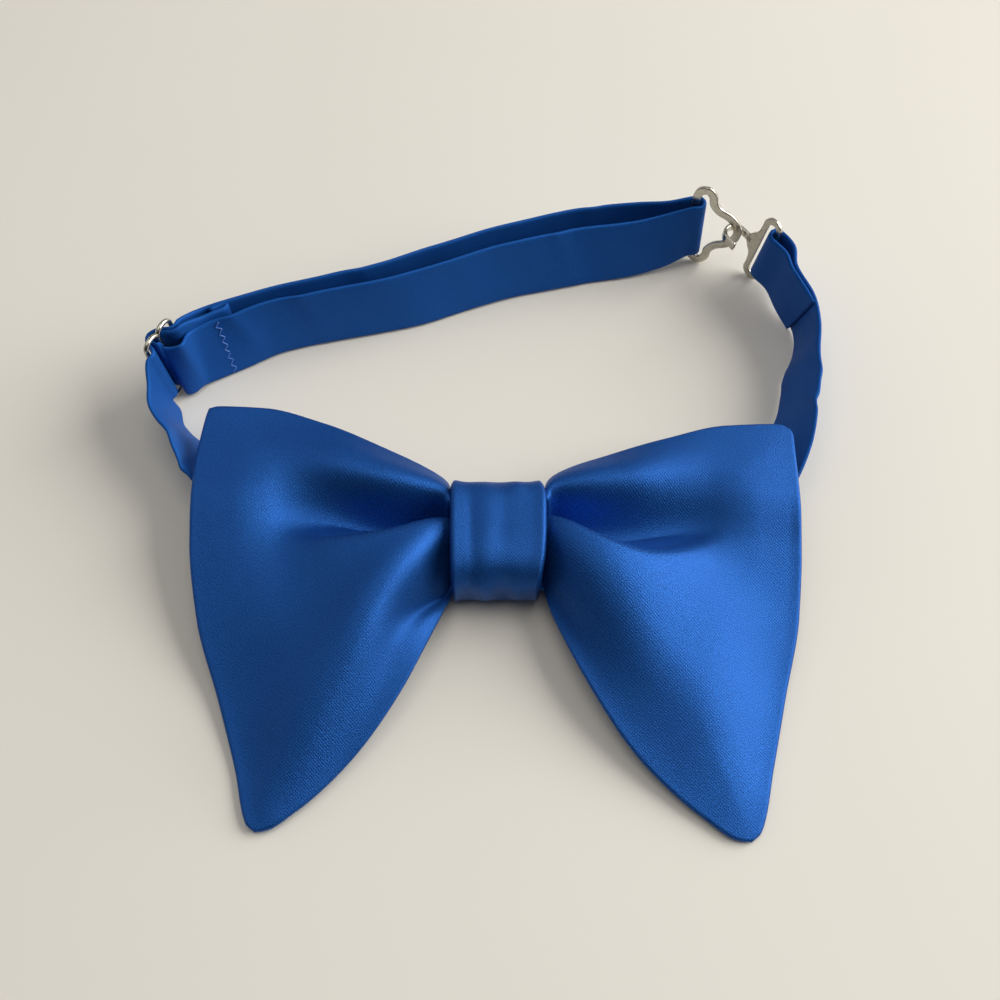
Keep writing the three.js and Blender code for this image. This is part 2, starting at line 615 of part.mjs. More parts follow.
// The frame of a fitting at the foot of its bar: the way the strap runs, up the bar, out of the loop.
function fittingFrame(name) {
  const f = FITTINGS[name];
  const heading = THREE.MathUtils.degToRad(f.heading);
  const lean = THREE.MathUtils.degToRad(f.lean);
  const along = new THREE.Vector3(Math.cos(heading), Math.sin(heading), 0);
  const outward = new THREE.Vector3(-along.y, along.x, 0);
  const upright = new THREE.Vector3(0, 0, 1);
  const up = upright.clone().multiplyScalar(Math.cos(lean)).addScaledVector(outward, Math.sin(lean));
  const out = outward.clone().multiplyScalar(Math.cos(lean)).addScaledVector(upright, -Math.sin(lean));
  const roll = THREE.MathUtils.degToRad(f.roll);
  along.applyAxisAngle(out, -roll);
  up.applyAxisAngle(out, -roll);
  return { foot: new THREE.Vector3(f.x, f.y, f.lift), along, up, out };
}

// A section of the strap beside a fitting.
function beside(name, { on, out, drop = 0, tip = 0 }) {
  const frame = fittingFrame(name);
  const lower = frame.foot.clone().addScaledVector(frame.along, on).addScaledVector(frame.out, out);
  lower.addScaledVector(frame.up, -drop);
  const up = frame.up.clone().multiplyScalar(BAND.width);
  up.addScaledVector(frame.along, tip);
  up.addScaledVector(frame.out, tip);
  return { lower, up: up.normalize() };
}

// Half a turn of the strap round a bar, on the far side of it from where the strap comes.
function aroundBar(name, from, to, sideways) {
  const sections = [];
  const radius = Math.abs(from - to) / 2;
  for (let i = 1; i < 4; i += 1) {
    const angle = (Math.PI * i) / 4;
    const on = sideways * radius * Math.sin(angle);
    sections.push(beside(name, { on, out: (from + to) / 2 + ((from - to) / 2) * Math.cos(angle) }));
  }
  return sections;
}

// Sections of a free run, each square to the run through its neighbours.
function freeRun(rows, before, after) {
  const plan = rows.map((row) => new THREE.Vector3(row.x, row.y, 0));
  const flat = (section) => new THREE.Vector3(section.lower.x, section.lower.y, 0);
  const outside = [before ? flat(before) : plan[0], ...plan, after ? flat(after) : plan[plan.length - 1]];
  return rows.map((row, i) => {
    const along = outside[i + 2].clone().sub(outside[i]).normalize();
    return section(row, along);
  });
}

function section(row, along) {
  const outward = new THREE.Vector3(-along.y, along.x, 0);
  const lean = THREE.MathUtils.degToRad(row.lean);
  const up = new THREE.Vector3(0, 0, Math.cos(lean)).addScaledVector(outward, Math.sin(lean));
  if (row.slant) up.addScaledVector(along, row.slant).normalize();
  const rest = Math.sin(lean) * (BAND.thick / 2);
  return { lower: new THREE.Vector3(row.x, row.y, row.lift + rest), up };
}

// The front layer and the hem run back towards the slider, so outward is on their other hand.
function backRun(rows, before, after) {
  return freeRun([...rows].reverse(), after, before).reverse();
}

// All sections of the strap, from the short end at the hook to the hem of the returned end.
function bandSections() {
  const belt = (name, key) => BELT[key].map((row) => beside(name, row));
  const hookShort = belt('hook', 'hookShort');
  const hookMain = belt('hook', 'hookMain');
  const running = belt('slider', 'running');
  const front = belt('slider', 'front');
  const returned = belt('slider', 'returned');
  const eyeRear = beside('eye', { on: 0, out: 2.2 });
  const eyeFront = beside('eye', { on: 0, out: -2.2 });
  const hemTurn = new THREE.Vector3(0, 0, 0);
  const end = section(RETURNED_END[2], new THREE.Vector3(0.9, 0.42, 0).normalize());
  const hem = section(HEM[0], new THREE.Vector3(0.9, 0.42, 0).normalize());
  hemTurn.copy(end.lower).add(hem.lower).multiplyScalar(0.5).add(new THREE.Vector3(0.8, 0.3, 0));
  return [
    ...backRun(SHORT_END, null, hookShort[0]),
    ...hookShort,
    ...aroundBar('hook', -1.9, 1.9, -1),
    ...hookMain,
    ...freeRun([...RIGHT_RUN, ...LEFT_RUN], hookMain[1], running[0]),
    ...running,
    ...freeRun(REAR_LAYER, running[running.length - 1], eyeRear),
    eyeRear,
    ...aroundBar('eye', 2.2, -2.2, 1),
    eyeFront,
    ...backRun(FRONT_LAYER, eyeFront, front[0]),
    ...front,
    ...aroundBar('slider', -2.0, 2.0, -1),
    ...returned,
    ...freeRun(RETURNED_END, returned[returned.length - 1], null),
    { lower: hemTurn, up: end.up },
    ...backRun(HEM, null, null),
  ];
}

// The neckband: a flattened tube swept through its sections.
function bandGeometry() {
  const sections = bandSections();
  const curveOf = (points) => new THREE.CatmullRomCurve3(points, false, 'centripetal');
  const lowLine = curveOf(sections.map((one) => one.lower));
  const highLine = curveOf(sections.map((one) => one.lower.clone().addScaledVector(one.up, BAND.width)));
  const spans = sections.length - 1;
  const shares = [];
  for (let i = 0; i < spans; i += 1) {
    const a = sections[i].lower;
    const b = sections[i + 1].lower;
    const turning = 1 - sections[i].up.dot(sections[i + 1].up) > 0.02 ? 2 : 1;
    const pieces = Math.max(a.distanceTo(b) < 1.8 ? 1 : 2, turning, Math.round(a.distanceTo(b) / 4.6));
    for (let k = 0; k < pieces; k += 1) shares.push((i + k / pieces) / spans);
  }
  shares.push(1);
  const lower = shares.map((t) => lowLine.getPoint(t));
  const upper = shares.map((t, i) => highLine.getPoint(t).sub(lower[i]).setLength(BAND.width).add(lower[i]));
  const half = BAND.thick / 2;
  const rings = lower.map((foot, i) => {
    const a = Math.max(i - 1, 0);
    const b = Math.min(i + 1, lower.length - 1);
    const run = lower[b].clone().add(upper[b]).sub(lower[a]).sub(upper[a]).normalize();
    const up = upper[i].clone().sub(foot).normalize();
    const face = new THREE.Vector3().crossVectors(run, up).normalize();
    const at = (rise, off) => {
      const [x, y, z] = foot.clone().addScaledVector(up, rise).addScaledVector(face, off).toArray();
      return [x, y, Math.max(z, 0)];
    };
    return [
      at(0, 0),
      at(0.45, -half),
      at(BAND.width - 0.45, -half),
      at(BAND.width, 0),
      at(BAND.width - 0.45, half),
      at(0.45, half),
    ];
  });
  return skin(rings, false);
}

// Fittings: a flat piece drawn in the plane of its bar, along the strap and up the bar.

function fittingMatrix(name, raised) {
  const frame = fittingFrame(name);
  const matrix = new THREE.Matrix4().makeBasis(frame.along, frame.up, frame.out.clone().negate());
  matrix.setPosition(frame.foot.clone().addScaledVector(frame.up, BAND.width / 2 + raised));
  return matrix;
}

// A round wire along points in the plane of a fitting.
function wire(points, closed) {
  const sides = 8;
  const rings = points.map((p, i) => {
    const count = points.length;
    const a = closed ? points[(i + count - 1) % count] : points[Math.max(i - 1, 0)];
    const b = closed ? points[(i + 1) % count] : points[Math.min(i + 1, count - 1)];
    const length = Math.hypot(b[0] - a[0], b[1] - a[1]);
    const side = [-(b[1] - a[1]) / length, (b[0] - a[0]) / length];
    const ring = [];
    for (let k = 0; k < sides; k += 1) {
      const angle = (2 * Math.PI * (k + 0.5)) / sides;
      const flat = WIRE.radius * Math.cos(angle);
      ring.push([p[0] + side[0] * flat, p[1] + side[1] * flat, WIRE.radius * Math.sin(angle)]);
    }
    return ring;
  });
  return skin(rings, closed);
}

// The slider: two narrow arches of wire side by side with a bar between them.
function sliderGeometry() {
  const half = WIRE.inside / 2 + WIRE.radius;
  const loop = (from, to) => {
    const centre = (from + to) / 2;
    const radius = Math.abs(to - from) / 2;
    const points = [];
    const arch = 9;
    for (let i = 0; i <= arch; i += 1) {
      const angle = Math.PI * (1 - i / arch);
      points.push([centre + radius * Math.cos(angle), half - WIRE.arch + WIRE.arch * Math.sin(angle)]);
    }
    for (let i = 0; i <= arch; i += 1) {
      const angle = -(Math.PI * i) / arch;
      points.push([centre + radius * Math.cos(angle), -(half - WIRE.arch) + WIRE.arch * Math.sin(angle)]);
    }
    return points;
  };
  const rightHalf = wire(loop(0, WIRE.pitch), true);
  const leftHalf = wire(loop(-WIRE.pitch, 0).reverse(), true);
  return geometryOf(solid(rightHalf).add(solid(leftHalf)));
}

// A smooth closed outline through the rows of a half outline and their mirror image.
function mirrored(half, divisions) {
  const whole = [...half, ...half.slice(1, -1).reverse().map(({ a, w }) => ({ a, w: -w }))];
  const curve = new THREE.CatmullRomCurve3(
    whole.map(({ a, w }) => new THREE.Vector3(a, w, 0)),
    true,
    'centripetal',
  );
  return curve.getPoints(divisions).slice(0, -1).map((p) => [p.x, p.y]);
}

// The middle line of the eye's band: the strap bar, a rounded lobe at each end, a waist and the tip.
const EYE_LINE = [
  { a: 0, w: 0 },
  { a: 0, w: 10.0 },
  { a: 0.9, w: 11.8 },
  { a: 2.9, w: 12.2 },
  { a: 4.3, w: 10.7 },
  { a: 4.8, w: 8.2 },
  { a: 6.4, w: 6.2 },
  { a: 9.6, w: 4.6 },
  { a: 11.6, w: 2.4 },
  { a: 12.2, w: 0 },
];

function offsetLoop(points, by) {
  return points.map((p, i) => {
    const a = points[(i + points.length - 1) % points.length];
    const b = points[(i + 1) % points.length];
    const length = Math.hypot(b[0] - a[0], b[1] - a[1]);
    return [p[0] + (-(b[1] - a[1]) / length) * by, p[1] + ((b[0] - a[0]) / length) * by];
  });
}

// An outline without the points that lie on a straight stretch of it.
function corners(points) {
  return points.filter((p, i) => {
    const a = points[(i + points.length - 1) % points.length];
    const b = points[(i + 1) % points.length];
    const bend = (p[0] - a[0]) * (b[1] - p[1]) - (p[1] - a[1]) * (b[0] - p[0]);
    return Math.abs(bend) > 0.004;
  });
}

// The corners of an outline, counter-clockwise.
function counterClockwise(points) {
  const flat = corners(points).map(([a, w]) => new THREE.Vector2(a, w));
  return THREE.ShapeUtils.isClockWise(flat) ? flat.reverse() : flat;
}

// A flat plate with a hole in it.
function plate(outer, inner) {
  const shape = new THREE.Shape(counterClockwise(outer));
  shape.holes.push(new THREE.Path(counterClockwise(inner).reverse()));
  const geometry = new THREE.ExtrudeGeometry(shape, { depth: PLATE.thick, bevelEnabled: false });
  geometry.translate(0, 0, -PLATE.thick / 2);
  return geometry;
}

function eyeGeometry() {
  const line = mirrored(EYE_LINE, 56);
  const outer = offsetLoop(line, PLATE.band / 2);
  const inner = offsetLoop(line, -PLATE.band / 2);
  return geometryOf(solid(plate(outer, inner)));
}

// The hook's outline, from the middle of its strap bar round to the root of its tongue, and its slot.
const HOOK_LINE = [
  { a: 0.8, w: 0 },
  { a: 0.8, w: 9.2 },
  { a: 0.2, w: 11.4 },
  { a: -1.6, w: 12.5 },
  { a: -3.6, w: 12.2 },
  { a: -4.9, w: 10.6 },
  { a: -5.0, w: 7.6 },
  { a: -5.4, w: 4.6 },
  { a: -6.9, w: 2.3 },
  { a: -7.8, w: 0 },
];
const HOOK_SLOT = [
  { a: -0.8, w: 0 },
  { a: -0.8, w: 9.4 },
  { a: -1.3, w: 10.5 },
  { a: -2.3, w: 10.7 },
  { a: -3.2, w: 9.9 },
  { a: -3.3, w: 8.4 },
  { a: -3.3, w: 0 },
];

function hookGeometry() {
  const flat = plate(mirrored(HOOK_LINE, 56), mirrored(HOOK_SLOT, 30));
  const half = PLATE.thick / 2;
  const reach = HOOK.reach;
  const centre = [-reach, HOOK.bend];
  const outer = [[-5.6, -half], [-reach, -half]];
  const inner = [[-5.6, half], [-reach, half]];
  const steps = 8;
  for (let i = 1; i <= steps; i += 1) {
    const angle = -Math.PI / 2 - (Math.PI * i) / steps;
    const x = Math.cos(angle);
    const y = Math.sin(angle);
    outer.push([centre[0] + (HOOK.bend + half) * x, centre[1] + (HOOK.bend + half) * y]);
    inner.push([centre[0] + (HOOK.bend - half) * x, centre[1] + (HOOK.bend - half) * y]);
  }
  outer.push([-reach + HOOK.lip, 2 * HOOK.bend + half]);
  inner.push([-reach + HOOK.lip, 2 * HOOK.bend - half]);
  const profile = [...outer, ...inner.reverse()];
  const shape = new THREE.Shape(profile.map(([a, n]) => new THREE.Vector2(a, n)));
  const strip = new THREE.ExtrudeGeometry(shape, { depth: HOOK.tongueWidth, bevelEnabled: false });
  strip.translate(0, 0, -HOOK.tongueWidth / 2);
  strip.rotateX(Math.PI / 2);
  return geometryOf(solid(flat).add(solid(strip)));
}

// Assembly

const satin = (color) => new THREE.MeshStandardMaterial({ color, roughness: 0.42, metalness: 0 });
const metal = () => new THREE.MeshStandardMaterial({ color: 0xb9b6ac, roughness: 0.28, metalness: 1 });

const tie = new THREE.Group();

function addPiece(name, geometry, material, matrix) {
  const mesh = new THREE.Mesh(geometry, material);
  mesh.name = name;
  if (matrix) mesh.applyMatrix4(matrix);
  tie.add(mesh);
}

addPiece('bow', bowGeometry(), satin(0x1c4fb0));
addPiece('knot_wrap', knotGeometry(), satin(0x1b4aa6));
addPiece('neckband', bandGeometry(), satin(0x1a479f));
addPiece('slider', sliderGeometry(), metal(), fittingMatrix('slider', 0));
addPiece('eye', eyeGeometry(), metal(), fittingMatrix('eye', 1.0));
addPiece('hook', hookGeometry(), metal(), fittingMatrix('hook', 0));

export default tie;
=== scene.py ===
"""A pre-tied satin bow tie lying on a pale surface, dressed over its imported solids.

Everything is in metres in the frame of the solids: +Z up, the origin on the surface under the
middle of the knot, +X along the bow to its right wing, +Y into the neck loop.
"""
import logging
import math
from dataclasses import dataclass, field
from enum import Enum

import bpy
import numpy as np
from bpy.types import Material, Node, NodeSocket, NodeTree, Object
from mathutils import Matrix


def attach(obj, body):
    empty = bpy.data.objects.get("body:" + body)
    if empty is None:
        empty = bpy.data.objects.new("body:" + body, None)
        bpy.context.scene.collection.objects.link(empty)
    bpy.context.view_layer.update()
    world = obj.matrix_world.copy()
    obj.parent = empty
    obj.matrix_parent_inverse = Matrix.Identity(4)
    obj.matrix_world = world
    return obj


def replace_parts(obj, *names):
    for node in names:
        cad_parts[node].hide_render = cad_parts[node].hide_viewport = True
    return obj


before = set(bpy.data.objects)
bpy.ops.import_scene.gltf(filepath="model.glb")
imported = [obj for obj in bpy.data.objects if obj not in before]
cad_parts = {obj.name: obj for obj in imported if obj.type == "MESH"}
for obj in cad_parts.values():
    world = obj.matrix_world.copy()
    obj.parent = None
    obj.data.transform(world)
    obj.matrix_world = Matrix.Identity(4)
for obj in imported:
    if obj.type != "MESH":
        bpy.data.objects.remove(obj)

LOG = logging.getLogger("bow_tie")
MM = 0.001
TURN = 2 * math.pi
STRAP = 18.0  # width of the neckband in millimetres
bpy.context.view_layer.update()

Array = np.ndarray
Pair = tuple[float, float]
Triple = tuple[float, float, float]
Rows = tuple[tuple[float, ...], ...]
Faces = list[tuple[int, ...]]
Section = tuple[Array, Array]


# Small maths shared by the pieces


def smooth(t: Array | float) -> Array | float:
    """A soft step from 0 to 1 over t = 0 to 1."""
    c = np.clip(t, 0.0, 1.0)
    return c * c * (3.0 - 2.0 * c)


def lerp(a: Array | float, b: Array | float, t: Array | float) -> Array | float:
    """The value a share t of the way from a to b."""
    return a + (b - a) * t


def bump(t: Array, centre: float, width: float) -> Array:
    """A bell of height 1 round a centre."""
    return np.exp(-(((t - centre) / width) ** 2))


def between(rows: Rows, x: Array | float, column: int = 1) -> Array:
    """A value between the rows of a table, by a smooth curve that never overshoots its rows.

    Args:
        rows: Rows that start with their place, in order.
        x: Where the value is wanted.
        column: Which entry of the rows it is.

    Returns:
        The values at x.
    """
    at = np.array([row[0] for row in rows], float)
    value = np.array([row[column] for row in rows], float)
    slope = np.diff(value) / np.diff(at)
    tangent = np.empty_like(value)
    tangent[0], tangent[-1] = slope[0], slope[-1]
    before, after = slope[:-1], slope[1:]
    same = before * after > 0
    total = np.where(np.abs(before + after) < 1e-12, 1.0, before + after)
    tangent[1:-1] = np.where(same, 2.0 * before * after / total, 0.0)
    place = np.clip(np.asarray(x, float), at[0], at[-1])
    i = np.clip(np.searchsorted(at, place, side="left") - 1, 0, len(at) - 2)
    span = at[i + 1] - at[i]
    t = (place - at[i]) / span
    return (
        value[i] * (1 + 2 * t) * (1 - t) ** 2
        + value[i + 1] * t * t * (3 - 2 * t)
        + tangent[i] * span * t * (1 - t) ** 2
        + tangent[i + 1] * span * t * t * (t - 1)
    )


def spline(points: Array, places: Array, closed: bool = False) -> Array:
    """Points on a centripetal Catmull-Rom curve.

    Args:
        points: The points that the curve passes through.
        places: Where to read it, in units of points.
        closed: Whether the curve runs on from its last point to its first.

    Returns:
        One point for each place.
    """
    pts = np.asarray(points, float)
    n = len(pts)
    last = n if closed else n - 1
    first = np.clip(np.floor(places).astype(int), 0, last - 1)
    w = (places - first)[:, None]
    if closed:
        p = [pts[(first + k) % n] for k in (-1, 0, 1, 2)]
    else:
        wide = np.vstack([2 * pts[0] - pts[1], pts, 2 * pts[-1] - pts[-2]])
        p = [wide[first + k] for k in (0, 1, 2, 3)]
    d = [np.sum((p[k + 1] - p[k]) ** 2, axis=1) ** 0.25 for k in range(3)]
    d[1] = np.where(d[1] < 1e-4, 1.0, d[1])
    d[0] = np.where(d[0] < 1e-4, d[1], d[0])
    d[2] = np.where(d[2] < 1e-4, d[1], d[2])
    a, b, c = (x[:, None] for x in d)
    t1 = ((p[1] - p[0]) / a - (p[2] - p[0]) / (a + b) + (p[2] - p[1]) / b) * b
    t2 = ((p[2] - p[1]) / b - (p[3] - p[1]) / (b + c) + (p[3] - p[2]) / c) * b
    square, cube = 3 * (p[2] - p[1]) - 2 * t1 - t2, 2 * (p[1] - p[2]) + t1 + t2
    return p[1] + t1 * w + square * w**2 + cube * w**3


def crowded(count: int, share: float) -> Array:
    """Steps from 0 to 1 that crowd towards both ends, more so the larger the share."""
    even = np.linspace(0, 1, count)
    return lerp(even, 0.5 - 0.5 * np.cos(even * math.pi), share)


def unit(v: Array) -> Array:
    """Vectors scaled to length 1."""
    return v / np.maximum(np.linalg.norm(v, axis=-1, keepdims=True), 1e-12)


def ripple(u: Array, v: Array, seed: int, scale: float) -> Array:
    """Slow uneven waves over a surface, the same each run.

    Args:
        u: Distance along the surface in millimetres.
        v: Distance across it in millimetres.
        seed: Which set of waves.
        scale: Typical distance between crests in millimetres.

    Returns:
        Heights of about -1 to 1.
    """
    rng = np.random.default_rng(seed)
    total = np.zeros(np.broadcast(u, v).shape)
    for _ in range(7):
        angle = rng.uniform(0, TURN)
        turn = rng.uniform(0.7, 1.5) * TURN / scale
        total = total + np.sin(turn * (u * math.cos(angle) + v * math.sin(angle)) + rng.uniform(0, 6.28))
    return total / 3.2


# Meshes


def link_new(name: str, data: bpy.types.ID) -> Object:
    """A new object with its data, linked to the scene.

    Args:
        name: The object's name.
        data: Its mesh, curve, light or camera.

    Returns:
        The object.
    """
    obj = bpy.data.objects.new(name, data)
    bpy.context.scene.collection.objects.link(obj)
    return obj


def make_piece(name: str, points: Array, faces: Faces, uv: Array | None = None) -> Object:
    """A smooth-shaded mesh object in the frame, from points in millimetres.

    Args:
        name: The piece's name.
        points: Its points in millimetres.
        faces: Its faces as tuples of point numbers.
        uv: A place in the cloth for each point, in millimetres along and across.

    Returns:
        The new object, riding on the root body.
    """
    mesh = bpy.data.meshes.new(name)
    mesh.from_pydata((np.asarray(points) * MM).tolist(), [], faces)
    mesh.update()
    if uv is not None:
        layer = mesh.uv_layers.new(name="cloth_mm")
        index = np.empty(len(mesh.loops), int)
        mesh.loops.foreach_get("vertex_index", index)
        layer.data.foreach_set("uv", np.asarray(uv, float)[index].ravel())
    mesh.shade_smooth()
    obj = link_new(name, mesh)
    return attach(obj, "root")


def ring_faces(rings: int, count: int, closed: bool) -> Faces:
    """Faces that join rings of equal length in order, with a cap at each open end.

    Args:
        rings: How many rings there are.
        count: Points in each ring.
        closed: Whether the last ring joins the first.

    Returns:
        The faces.
    """
    index = np.arange(rings * count).reshape(rings, count)
    on = np.roll(index, -1, axis=1)
    quads = np.stack([index, on, np.roll(on, -1, axis=0), np.roll(index, -1, axis=0)], axis=-1)
    faces = [tuple(quad) for quad in quads[: rings if closed else rings - 1].reshape(-1, 4).tolist()]
    if not closed:
        faces += [tuple(index[0, ::-1].tolist()), tuple(index[-1].tolist())]
    return faces


def swept(name: str, line: Array, section: Array, side: Array, closed: bool = False) -> Object:
    """A solid rod with a given section along a line.

    Args:
        name: The piece's name.
        line: The points of its middle line in millimetres.
        section: The section's points, as (sideways, along side) pairs in millimetres.
        side: The direction in which the section's second entry runs, for each point or for all.
        closed: Whether the line is a loop.

    Returns:
        The new object.
    """
    if closed:
        run = unit(np.roll(line, -1, axis=0) - np.roll(line, 1, axis=0))
    else:
        run = unit(np.gradient(line, axis=0))
    up = unit(np.broadcast_to(side, line.shape) - run * np.sum(run * side, axis=1, keepdims=True))
    across = np.cross(run, up)
    rings = line[:, None] + across[:, None] * section[None, :, :1] + up[:, None] * section[None, :, 1:]
    faces = ring_faces(len(line), len(section), closed)
    return make_piece(name, rings.reshape(-1, 3), faces)


def round_section(radius: float, sides: int = 14) -> Array:
    """The section of a round wire."""
    angle = np.arange(sides) * TURN / sides
    return radius * np.stack([np.cos(angle), np.sin(angle)], axis=1)


def flat_section(width: float, thick: float, corner: float) -> Array:
    """The section of a flat band with rounded edges.

    Args:
        width: Its size along the first axis.
        thick: Its size along the second axis.
        corner: The radius of its corners.

    Returns:
        The section's points in order.
    """
    angles = np.linspace(0, math.pi / 2, 4)
    points = []
    for k, (sx, sy) in enumerate([(1, 1), (-1, 1), (-1, -1), (1, -1)]):
        centre = np.array([sx * (width / 2 - corner), sy * (thick / 2 - corner)])
        for angle in angles + k * math.pi / 2:
            points.append(centre + corner * np.array([math.cos(angle), math.sin(angle)]))
    return np.array(points)


# Materials


def linear(hex_colour: str) -> tuple[float, float, float, float]:
    """An sRGB hex colour as linear red, green, blue and alpha.

    Args:
        hex_colour: Six hex digits after a hash.

    Returns:
        The four shares of 0 to 1.
    """
    parts = [int(hex_colour.lstrip("#")[i : i + 2], 16) / 255 for i in (0, 2, 4)]
    r, g, b = (c / 12.92 if c <= 0.04045 else ((c + 0.055) / 1.055) ** 2.4 for c in parts)
    return (r, g, b, 1.0)


def set_node(tree: NodeTree, node: Node, values: dict | None = None, links: dict | None = None) -> None:
    """Gives a node its fixed inputs and its links, each by input name or number.

    Args:
        tree: The node tree.
        node: The node.
        values: Fixed values by input.
        links: Outputs of other nodes by input.
    """
    for key, value in (values or {}).items():
        node.inputs[key].default_value = value
    for key, socket in (links or {}).items():
        tree.links.new(socket, node.inputs[key])


def add_node(
    tree: NodeTree,
    kind: str,
    settings: dict[str, object] | None = None,
    values: dict[str, object] | None = None,
    links: dict[str, NodeSocket] | None = None,
) -> Node:
    """Adds one node with its settings, its fixed inputs and its links.

    Args:
        tree: The material's node tree.
        kind: The node's type.
        settings: Attributes of the node.
        values: Fixed values by input name or number.
        links: Outputs of other nodes by input name or number.

    Returns:
        The new node.
    """
    node = tree.nodes.new(kind)
    for key, value in (settings or {}).items():
        setattr(node, key, value)
    set_node(tree, node, values, links)
    return node


def noise(tree: NodeTree, where: NodeSocket, scale: float, detail: float, rough: float = 0.5) -> NodeSocket:
    """Uneven patches of 0 to 1, about so many to a unit of the place."""
    values = {"Scale": scale, "Detail": detail, "Roughness": rough}
    return add_node(tree, "ShaderNodeTexNoise", values=values, links={"Vector": where}).outputs["Fac"]


def bands(tree: NodeTree, where: NodeSocket, way: str, pitch: float, waver: dict[str, float]) -> NodeSocket:
    """Wavering parallel lines of 0 to 1, a pitch apart; the wave node draws 20 radians to a unit."""
    values = {"Scale": TURN / (20 * pitch), **waver}
    return add_node(
        tree, "ShaderNodeTexWave", {"bands_direction": way}, values, {"Vector": where}
    ).outputs["Fac"]


def mapped(tree: NodeTree, value: NodeSocket, source: Pair, goal: Pair) -> NodeSocket:
    """A value carried from one range to another."""
    values = dict(zip(("From Min", "From Max", "To Min", "To Max"), source + goal))
    return add_node(tree, "ShaderNodeMapRange", values=values, links={"Value": value}).outputs[0]


def product(tree: NodeTree, first: NodeSocket, second: NodeSocket, clamped: bool = False) -> NodeSocket:
    """The product of two values."""
    settings = {"operation": "MULTIPLY", "use_clamp": clamped}
    return add_node(tree, "ShaderNodeMath", settings, links={0: first, 1: second}).outputs[0]


def blended(tree: NodeTree, low: str, high: str, share: NodeSocket) -> NodeSocket:
    """A colour between two hex colours, by a share of 0 to 1.

    Args:
        tree: The node tree.
        low: The colour at 0.
        high: The colour at 1.
        share: The share.

    Returns:
        The colour.
    """
    values = {"A": linear(low), "B": linear(high)}
    node = add_node(tree, "ShaderNodeMix", {"data_type": "RGBA"}, values, {"Factor": share})
    return node.outputs["Result"]


def raised(tree: NodeTree, height: NodeSocket, strength: float, depth: float, **more) -> NodeSocket:
    """A surface normal that follows a fine relief, its depth in metres, with more links by name."""
    values = {"Strength": strength, "Distance": depth}
    return add_node(tree, "ShaderNodeBump", values=values, links={"Height": height, **more}).outputs[0]


def new_material(name: str) -> tuple[Material, NodeTree, Node]:
    """An empty material with its shader and output.

    Args:
        name: The material's name.

    Returns:
        The material, its node tree and its shader.
    """
    material = bpy.data.materials.new(name)
    material.use_nodes = True
    tree = material.node_tree
    tree.nodes.clear()
    shader = add_node(tree, "ShaderNodeBsdfPrincipled")
    add_node(tree, "ShaderNodeOutputMaterial", links={"Surface": shader.outputs[0]})
    return material, tree, shader


@dataclass(frozen=True)
class SatinFinish:
    """Polyester duchess satin with a fine twill line, woven smooth and pressed.

    Its long floating threads give broad soft highlights that stretch along the folds, a deep
    colour where it turns away from the light, and fine slanting lines close to.
    """

    name: str
    colour: str = "#2366BC"
    deep: str = "#113F84"
    sheen: str = "#7FA8F0"
    thread_mm: float = 0.56  # drawn about twice the real pitch, so that it shows in the render
    slant_deg: float = 45.0
    grain_mm: float = 0.33
    patches_per_mm: float = 0.045
    roughness: float = 0.39
    lustre: float = 0.66
    gloss: float = 0.28
    thread_bump: float = 0.12
    grain_bump: float = 0.9

    def material(self) -> Material:
        """The satin as a material that reads the piece's cloth coordinates in millimetres.

        Returns:
            The material.
        """
        made, tree, shader = new_material(self.name)
        cloth = add_node(tree, "ShaderNodeUVMap", {"uv_map": "cloth_mm"}).outputs[0]
        slant = {"Rotation": (0.0, 0.0, math.radians(self.slant_deg))}
        turned = add_node(tree, "ShaderNodeMapping", values=slant, links={"Vector": cloth}).outputs[0]
        waver = {"Distortion": 1.5, "Detail": 3.0, "Detail Scale": 1.3}
        lines = bands(tree, turned, "X", self.thread_mm, waver)
        threads = noise(tree, cloth, scale=1 / self.grain_mm, detail=3.0, rough=0.7)
        patches = noise(tree, cloth, scale=self.patches_per_mm, detail=2.0)
        cloudy = mapped(tree, patches, (0.25, 0.7), (0.85, 1.1))
        weave = mapped(tree, lines, (0.0, 1.0), (0.91, 1.06))
        flecks = mapped(tree, threads, (0.3, 0.7), (0.0, 1.0))
        share = product(tree, product(tree, cloudy, weave), flecks, clamped=True)
        grain = raised(tree, threads, self.grain_bump, 0.00015)
        uneven = (self.roughness - 0.05, self.roughness + 0.06)
        # the threads' highlights are the colour of the dye, so the lustre is part metallic
        values = {
            "Metallic": self.lustre, "Specular IOR Level": self.gloss, "Anisotropic": 0.4,
            "Sheen Weight": 0.02, "Sheen Roughness": 0.4, "Sheen Tint": linear(self.sheen),
        }
        set_node(tree, shader, values, {
            "Base Color": blended(tree, self.deep, self.colour, share),
            "Roughness": mapped(tree, threads, (0.2, 0.8), uneven),
            "Normal": raised(tree, lines, self.thread_bump, 0.00016, Normal=grain),
        })
        return made


@dataclass(frozen=True)
class NickelFinish:
    """Nickel-plated steel, stamped or drawn and tumbled smooth.

    It gives soft bright reflections with a faint warm cast and small handling marks.
    """

    name: str
    colour: str = "#CFCBC0"
    worn: str = "#B9B3A4"
    mark_mm: float = 1.1
    roughness: float = 0.22

    def material(self) -> Material:
        """The plated metal as a material in object space.

        Returns:
            The material.
        """
        made, tree, shader = new_material(self.name)
        place = add_node(tree, "ShaderNodeTexCoord").outputs["Object"]
        marks = noise(tree, place, scale=1 / (self.mark_mm * MM), detail=3.0, rough=0.55)
        uneven = (self.roughness - 0.05, self.roughness + 0.1)
        set_node(tree, shader, {"Metallic": 1.0}, {
            "Roughness": mapped(tree, marks, (0.3, 0.75), uneven),
            "Base Color": blended(tree, self.colour, self.worn, marks),
            "Normal": raised(tree, marks, 0.08, 0.00002),
        })
        return made


